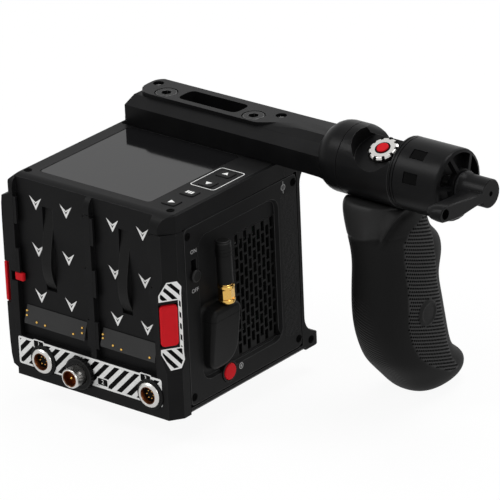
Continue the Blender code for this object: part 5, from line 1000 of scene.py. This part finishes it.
# %% Contact pins
CONTACT_PINS = (
    (-40.0, -49.3, 32.3), (-39.6, -50.0, 30.3), (-33.3, -50.7, 28.5), (-28.2, -50.8, 28.3),
    (-11.6, -50.7, 28.4), (-7.2, -49.4, 32.0), (-6.7, -50.2, 29.9), (5.0, -49.4, 32.0), (5.4, -50.0, 30.5),
    (11.6, -50.6, 28.7), (16.6, -50.8, 28.1), (32.9, -50.7, 28.4),
)
dome = finished(lathe(bmesh.new(), [(0.62, -0.1), (0.62, 0.12), (0.45, 0.42), (0, 0.5)], Vector(), UP, 12))
BLOCK_SLOPE = Vector((0, -0.94, 0.34))
spring_pins = [(point(*place), BLOCK_SLOPE) for place in CONTACT_PINS]
add_piece("contact_pins", repeated(dome, spring_pins, GOLD), None, "camera", "gold")
add_piece("coax_studs", finished(studs), SILVER, "camera", "silver")
add_piece("socket_inserts", finished(copper), COPPER, "camera", "gold")
add_piece("socket_pins", finished(gold), GOLD, "camera", "gold")
add_piece("socket_washers", finished(washers), RUBBER, "camera", "rubber")
print("contact pins:", len(CONTACT_PINS))

# %% [markdown]
# ## Trim of the clamp
# The silver bezel of the trigger has notches all round and a groove inside its rim, and the collar has glossy
# inlays in its windows. Cuts in the metal would need a boolean for each. Thin dark plates set into it look the
# same and stay simple: on the bezel they are painted shade in the notches and the groove. They ride the grip,
# so they turn with it.

# %% Notches and inlays
NOTCHES, BEZEL_HEIGHT = 10, 11.4
INLAY_ANGLES, INLAY_X, INLAY_HEIGHT = (122, 162, 302, 342), 124.4, 15.5
JOINTS = {joint["name"]: joint for joint in frame["joints"]}
pivot = Vector(JOINTS["grip_swivel"]["pos_m"]) / MM
flat_normal = -Vector(JOINTS["trigger_press"]["axis"])
bezel = point(middle("trigger_bezel").x, pivot.y, pivot.z) + flat_normal * BEZEL_HEIGHT * MM
flat_up = flat_normal.cross(EAST)
# Dark plates as painted shade in the bezel's notches and in the groove around the button.
notches = bmesh.new()
for step in range(NOTCHES):
    angle = 2 * pi * (step + 0.5) / NOTCHES
    outward = EAST * cos(angle) + flat_up * sin(angle)
    plate(notches, box_outline(5.6, -0.62, 7.08, 0.62), bezel, outward, flat_normal.cross(outward),
          0.05 * MM, -1.3 * MM)
plate(notches, round_outline(0, 0, 3.6), bezel, EAST, flat_up, 0.05 * MM, -0.3 * MM,
      hole=round_outline(0, 0, 2.95))
add_piece("bezel_notches", finished(notches), GLOSS_BLACK, "grip", "plastic")

inlays = bmesh.new()
for angle in INLAY_ANGLES:
    outward = Vector((0, cos(radians(angle)), sin(radians(angle))))
    seat = point(INLAY_X, pivot.y, pivot.z) + outward * INLAY_HEIGHT * MM
    plate(inlays, box_outline(-3.4, -2.2, 3.4, 2.2, 0.4), seat, EAST, outward.cross(EAST),
          0.55 * MM, -0.3 * MM)
add_piece("collar_inlays", finished(inlays), GLOSS_BLACK, "grip", "plastic")
print("notches:", NOTCHES, "inlays:", len(INLAY_ANGLES))

# %% [markdown]
# ## The antenna
# The antenna screws into a small case on the side panel. The case has a seam below its lid, a large lower
# corner and a front that falls back towards its foot, where the record button is. It could be sculpted, but
# a rounded plate whose corners are pulled back by a rule does it, and the seam is a thin line in the
# finish. The sleeve's rings and the nut's rims are turned.

# %% The antenna's case
BASE_SEAM, BASE_FOOT, BASE_TAPER = 41.2, 16.6, 0.42
base_low, base_high = corners("antenna_base")
base_middle = middle("antenna_base")
BASE_CORNERS = ((base_high.y, base_high.z, 3.5), (base_low.y, base_high.z, 3.5),
                (base_low.y, BASE_FOOT, 5.5), (base_high.y, BASE_FOOT, 9.6))
outline = []
for quarter, (y, z, radius) in enumerate(BASE_CORNERS):
    centre_y = y - copysign(radius, y - base_middle.y)
    centre_z = z - copysign(radius, z - base_middle.z)
    outline += quarter_round(centre_y, centre_z, radius, quarter, 8)
back = point(base_low.x, 0, 0)
case = to_mesh(plate(bmesh.new(), outline, back, NORTH, UP, (base_high.x - base_low.x) * MM, 0))
case = softened(case, 2.0 * MM, 5)
for vertex in case.vertices:
    fall = max(0.0, (BASE_SEAM * MM - vertex.co.z) / ((BASE_SEAM - BASE_FOOT) * MM))
    vertex.co.x -= (vertex.co.x - back.x) * BASE_TAPER * fall


def seamed_plastic():
    paint = Paint("antenna_plastic", (0.004, 0.004, 0.004), 0.45, Specular_IOR_Level=0.09)
    x, y, z = paint.axes(paint.place())
    seam = abs(z - BASE_SEAM * MM) < 0.16 * MM
    fine = paint.noise(0.25 * MM)
    paint.bump(fine * 0.1 - seam, 0.15 * MM)
    paint.feed("Roughness", 0.42 + fine * 0.1 + seam * 0.3)
    paint.feed("Base Color", paint.mix(seam, (0.0045, 0.0045, 0.0045), (0.0005, 0.0005, 0.0005)))
    return paint.material


add_piece("antenna_case", case, seamed_plastic(), "camera", "plastic", "antenna_base")
print("antenna case:", len(case.polygons), "faces")

# %% Rims and rings of the antenna
stem = Vector(JOINTS["antenna_turn"]["axis"])
mast = Vector(JOINTS["antenna_turn"]["pos_m"])
rims = bmesh.new()
for low in (0.3, 6.9):
    rim = [(2.9, low), (3.65, low), (3.85, low + 0.3), (3.85, low + 1.5), (3.65, low + 1.8), (2.9, low + 1.8)]
    lathe(rims, rim, mast, stem, 32, tube=True)
lathe(rims, [(2.9, 2.3), (3.7, 2.3), (3.7, 6.7), (2.9, 6.7)], mast, stem, 24, tube=True, hexed=(1, 2))
add_piece("antenna_rims", finished(rims), GOLD, "antenna", "gold")
rings = bmesh.new()
for low in (22.6, 24.2, 25.8):
    ring = [(3.4, low), (3.75, low + 0.15), (3.75, low + 0.75), (3.4, low + 0.9)]
    lathe(rings, ring, mast, stem, 32, tube=True)
add_piece("antenna_rings", finished(rings), PLASTIC, "antenna", "plastic")
print("rims and rings turned on the mast")

# %% [markdown]
# ## The moulded grip
# The grip is soft rubber over a hard core: a dished thumb rest with a crease beside it, a pitted panel on
# its outer side and a round boss. Sculpting it by hand could not be repeated. So the solid is turned into
# an even skin of small squares with a Remesh modifier, smoothed with the mean of each corner's neighbours,
# and pushed in and out by sums of humps. Three attributes tell the finish where the panel, the rest and the
# ribs are.

# %% Zones of the grip
PANEL = ((32.6, 71.2), (33.8, 62.5), (35.0, 43.9), (34.8, 29.3), (37.3, 21.0), (41.5, 13.2), (49.1, 6.4),
         (62.8, -1.5), (70.5, -2.5), (64.3, 4.5), (62.7, 11.3), (60.3, 22.1), (57.9, 35.2), (54.8, 48.8),
         (53.0, 60.0), (52.4, 70.8), (50.0, 78.8), (46.0, 81.0), (41.3, 79.4), (35.6, 76.6))
REST = ((78, 69), (87, 70.6), (100.3, 74.3), (105.3, 75.2), (111.4, 87.3), (113, 96), (78, 96))
RIBS = ((84, 42), (97, 44), (99, 30), (101, 12), (103, -2), (92, -6), (80, 10))


def within(u, v, outline):
    """Which of many places lie inside an outline."""
    inside = np.zeros(len(u), bool)
    for index, (u1, v1) in enumerate(outline):
        u0, v0 = outline[index - 1]
        crosses = (v0 > v) != (v1 > v)
        inside ^= crosses & (u < (u1 - u0) * (v - v0) / (v1 - v0 + 1e-12) + u0)
    return inside


def neighbour_mean(values, ends):
    """For each corner, the mean of a value at its neighbours."""
    count = len(values)
    total = np.bincount(ends[:, 0], values[ends[:, 1]], count)
    total += np.bincount(ends[:, 1], values[ends[:, 0]], count)
    return total / np.bincount(ends.ravel(), minlength=count)


def spread(values, ends, passes):
    """Let the border of a zone fade over its neighbours."""
    for _ in range(passes):
        values = (values + neighbour_mean(values, ends)) / 2
    return values


print("corners of the zones:", len(PANEL), len(REST), len(RIBS))

# %% An even, smooth skin
GRIP_CELL = 0.6 * MM
SMOOTH_PASSES, SMOOTH_PULL = 70, 0.5
FIRM_Z, FIRM_FADE, FIRM_PULL = 90, 8, 0.08


def even_skin(node):
    """A node in small squares, smoothed below its firm top: the mesh, its corners in mm and its edges."""
    mesh = baked(merged_copy(node), [("REMESH", {"mode": 'VOXEL', "voxel_size": GRIP_CELL})])
    place = np.empty(len(mesh.vertices) * 3)
    mesh.vertices.foreach_get("co", place)
    place = place.reshape(-1, 3) / MM
    ends = np.empty(len(mesh.edges) * 2, int)
    mesh.edges.foreach_get("vertices", ends)
    ends = ends.reshape(-1, 2)
    pull = SMOOTH_PULL * np.clip((FIRM_Z - place[:, 2]) / FIRM_FADE, FIRM_PULL, 1)
    for _ in range(SMOOTH_PASSES):
        mean = np.stack([neighbour_mean(place[:, axis], ends) for axis in range(3)], 1)
        place += (mean - place) * pull[:, None]
    mesh.vertices.foreach_set("co", (place * MM).ravel())
    mesh.update()
    return mesh, place, ends


skin, skin_place, skin_ends = even_skin("grip_shell")
print("grip skin:", len(skin.polygons), "faces")

# %% Relief of the skin
CREASE = ((104.8, 74.2), (111.6, 87.8))
CREASE_RELIEF = ((0, 0.8, 1.0), (-3.6, 2.6, -1.7), (1.7, 0.9, -1.1))
CREASE_LEAD, CREASE_FADE, CREASE_TURN = 4, 5, 0.6
GROOVE_X, GROOVE_Z, GROOVE_RISE, GROOVE_WIDTH, GROOVE_DEPTH = 100, 73.4, 0.12, 0.7, 0.25
PANEL_LIFT = 0.25
BOSS, BOSS_RADIUS, BOSS_DISH, BOSS_EDGE = (46.6, 33.8), 6.1, 4.9, 0.7
BOSS_HEIGHT, BOSS_DEPTH, BOSS_FACING = 0.9, 0.5, 0.5


def ramp(values):
    """Values held between 0 and 1."""
    return np.clip(values, 0, 1)


def swell(distance, width):
    """A smooth hump across a distance."""
    return np.exp(-(distance / width) ** 2)


def relief(place, normal, panel, boss_distance):
    """How far each corner of the skin is lifted, in millimetres."""
    x, y, z = place.T
    back = -normal[:, 1] * 2
    (x0, z0), (x1, z1) = CREASE
    length = hypot(x1 - x0, z1 - z0)
    run = ((x - x0) * (x1 - x0) + (z - z0) * (z1 - z0)) / length
    off = ((x - x0) * (z1 - z0) - (z - z0) * (x1 - x0)) / length
    crease = sum(swell(off - where, width) * height for where, width, height in CREASE_RELIEF)
    crease *= ramp(back + CREASE_TURN) * ramp((run + CREASE_LEAD) / CREASE_FADE)
    groove = swell(z - GROOVE_Z - (x - GROOVE_X) * GROOVE_RISE, GROOVE_WIDTH) * GROOVE_DEPTH
    boss = ramp((BOSS_RADIUS - boss_distance) / BOSS_EDGE) * BOSS_HEIGHT
    boss -= ramp((BOSS_DISH - boss_distance) / BOSS_EDGE) * BOSS_DEPTH
    boss *= normal[:, 0] > BOSS_FACING
    return crease - groove * ramp(back) + panel * PANEL_LIFT + boss


print("humps along the crease:", len(CREASE_RELIEF))

# %% Moulding the skin
ZONE_FADE, RIB_FADE = 3, 14
BOSS_MARGIN, MARGIN_FADE, BOSS_GREY = 0.3, 0.6, 0.25
FACES_RIGHT, FACES_BACK = 0.3, 0.25


def mould(mesh, place, ends):
    """Lift the skin, and note its zones as attributes for the finish."""
    normal = np.empty(place.size)
    mesh.vertex_normals.foreach_get("vector", normal)
    normal = normal.reshape(-1, 3)
    x, y, z = place.T
    boss_distance = np.hypot(y - BOSS[0], z - BOSS[1])
    panel = spread((within(y, z, PANEL) & (normal[:, 0] > FACES_RIGHT)).astype(float), ends, ZONE_FADE)
    rest = spread((within(x, z, REST) & (normal[:, 1] < FACES_BACK)).astype(float), ends, ZONE_FADE)
    ribs = spread((within(x, z, RIBS) & (normal[:, 1] < 0)).astype(float), ends, RIB_FADE)
    lift = relief(place, normal, panel, boss_distance)
    mesh.vertices.foreach_set("co", ((place + normal * lift[:, None]) * MM).ravel())
    panel *= np.clip((boss_distance - BOSS_RADIUS - BOSS_MARGIN) / MARGIN_FADE, BOSS_GREY, 1)
    for name, values in (("panel", panel), ("rest", rest), ("ribs", ribs)):
        mesh.attributes.new(name, 'FLOAT', 'POINT').data.foreach_set("value", values)
    mesh.update()
    mesh.shade_smooth()
    return lift


lift = mould(skin, skin_place, skin_ends)
print("lifted from", round(lift.min(), 2), "to", round(lift.max(), 2), "mm")

# %% [markdown]
# ## The rubber of the grip
# The panel is a little greyer than the rest of the rubber, the thumb rest is painted lighter as a painted
# highlight on its dish, and fine ribs run behind the fingers. Separate pieces would show their seams. The
# finish reads the zones from the skin and mixes the greys and the painted highlight, with rows across the
# panel and waves on the ribs as a bump.

# %% Rubber finish
ROW_PITCH, ROW_SLOPE, ROW_TOP = 1.7, 0.33, 95.0
RIB_PITCH, RIB_SLOPE = 1.5, 0.3


def moulded_rubber():
    paint = Paint("grip_rubber", (0.0045, 0.0045, 0.0045), 0.6, Specular_IOR_Level=0.1)
    panel, rest, ribs = (paint.add("ShaderNodeAttribute", {"attribute_name": name}, {}, "Fac")
                         for name in ("panel", "rest", "ribs"))
    x, y, z = paint.axes(paint.place())
    fine = paint.noise(0.5 * MM)
    rows = z.maths('COSINE', (z + y * ROW_SLOPE - ROW_TOP * MM) * (2 * pi / (ROW_PITCH * MM)))
    waves = z.maths('SINE', (z + x * RIB_SLOPE) * (2 * pi / (RIB_PITCH * MM)))
    paint.bump(fine * 0.12 - panel * rows * 0.7 + ribs * waves * 0.6, 0.16 * MM)
    paint.feed("Roughness", 0.56 + fine * 0.1 - rest * 0.16)
    # The thumb rest is painted lighter: a painted highlight on its dish.
    plain = paint.mix(rest, (0.0038, 0.0038, 0.0038), (0.02, 0.02, 0.02))
    paint.feed("Base Color", paint.mix(panel, plain, (0.032, 0.032, 0.032)))
    return paint.material


add_piece("moulded_grip", skin, moulded_rubber(), "grip", "rubber", "grip_shell")
print("rows every", ROW_PITCH, "mm, ribs every", RIB_PITCH, "mm")

# %% [markdown]
# ## Pits of the grip's panel
# Rows of pits make the panel grippy. They could be a bump, but at this size they need real edges. Each
# place is found by casting a ray from the right at the finished skin, so the pits follow the grip's curves,
# and the repeating tree sets a small near-black lens on each of them, as painted shade in the pit.

# %% Pits
PIT_PITCH, PIT_ROWS, PIT_COLUMNS = 1.15, 70, 60
FIRST_Y, OUTSIDE_X, BOSS_GAP, PIT_FACING = 28, 160, 0.5, 0.35
spots = [vertex.co for vertex in skin.vertices]
surface = BVHTree.FromPolygons(spots, [tuple(face.vertices) for face in skin.polygons])
pit = finished(lathe(bmesh.new(), [(0.52, -0.15), (0.52, 0.03), (0.2, 0.04), (0, 0.04)], Vector(), UP, 8))
pit_places = []
for row in range(PIT_ROWS):
    for column in range(PIT_COLUMNS):
        y = FIRST_Y + (column + row % 2 / 2) * PIT_PITCH
        z = ROW_TOP - row * ROW_PITCH - y * ROW_SLOPE
        inside = within(np.array([y]), np.array([z]), PANEL)[0]
        if not inside or hypot(y - BOSS[0], z - BOSS[1]) < BOSS_RADIUS + BOSS_GAP:
            continue
        hit, facing, _, _ = surface.ray_cast(point(OUTSIDE_X, y, z), -EAST)
        if hit and facing.x > PIT_FACING:
            pit_places.append((hit, facing))
# Each near-black lens is painted shade in a pit.
add_piece("grip_pits", repeated(pit, pit_places, BLACK_AND_PAINTED_SHADE), None, "grip", "rubber")
print("pits:", len(pit_places))

# %% [markdown]
# ## The room
# The camera stands in a white sweep: a pale floor under its lowest point and a white world. A curved
# backdrop would do, but it would have to be lit evenly. Here rays from the lens and from shiny surfaces see
# plain white, while the light itself comes from four large soft lamps and a dim world, at a level where a
# colour renders about as it is written.

# %% The world
ROOM_LIGHT = 0.36


def seen_directly(paint):
    """1 for rays from the camera or from shiny and clear surfaces, 0 for the light on dull ones."""
    rays = paint.add("ShaderNodeLightPath", {}, {}).socket.node.outputs
    direct = [Signal(paint, rays[name]) for name in ("Is Camera Ray", "Is Glossy Ray", "Is Transmission Ray")]
    return direct[0].maths('MAXIMUM', direct[0], direct[1].maths('MAXIMUM', direct[1], direct[2]))


class WorldPaint(Paint):
    """The world's own tree, with the same way of adding nodes."""

    def __init__(self, world):
        world.use_nodes = True
        self.tree = world.node_tree
        self.shader = self.tree.nodes["Background"]


world = bpy.data.worlds.new("white_room")
bpy.context.scene.world = world
room = WorldPaint(world)
room.shader.inputs["Color"].default_value = (1, 1, 1, 1)
room.feed("Strength", seen_directly(room) * (1 - ROOM_LIGHT) + ROOM_LIGHT)
print("world:", ROOM_LIGHT, "of full white as light")

# %% The floor
FLOOR_SIZE, FLOOR_DROP, FLOOR_GLOW = 6.0, 0.2 * MM, 0.93
floor_mesh = bpy.data.meshes.new("floor")
half = FLOOR_SIZE / 2
floor_z = CAD_BOX[0][2] - FLOOR_DROP
square = [(-half, -half, floor_z), (half, -half, floor_z), (half, half, floor_z), (-half, half, floor_z)]
floor_mesh.from_pydata(square, [], [(0, 1, 2, 3)])
floor = bpy.data.objects.new("floor", floor_mesh)
bpy.context.collection.objects.link(floor)

sweep = Paint("white_floor", (0.9, 0.9, 0.9), 0.9, Specular_IOR_Level=0.0)
glow = sweep.add("ShaderNodeEmission", {}, {"Color": (1, 1, 1, 1), "Strength": 1.0})
shadowed = sweep.add("ShaderNodeMixShader", {}, {0: seen_directly(sweep) * FLOOR_GLOW, 2: glow})
sweep.tree.links.new(sweep.shader.outputs[0], shadowed.socket.node.inputs[1])
sweep.tree.links.new(shadowed.socket, sweep.tree.nodes["Material Output"].inputs["Surface"])
floor_mesh.materials.append(sweep.material)
print("floor at", round(floor_z / MM, 2), "mm")

# %% Soft lamps
LAMPS = {
    "key": ((-0.9, -1.0, 1.5), 0.7, 15.0),
    "top": ((0.1, 0.4, 1.7), 0.8, 14.0),
    "side": ((1.7, -0.4, 0.8), 0.6, 7.0),
    "front": ((0.3, 1.7, 0.9), 0.7, 6.0),
}
for name, (place, size, power) in LAMPS.items():
    lamp = bpy.data.lights.new(name, 'AREA')
    lamp.size = size
    lamp.energy = power
    item = bpy.data.objects.new(name + "_lamp", lamp)
    item.location = place
    item.rotation_euler = (AIM - Vector(place)).to_track_quat('-Z', 'Y').to_euler()
    bpy.context.collection.objects.link(item)
print("lamps:", ", ".join(LAMPS))
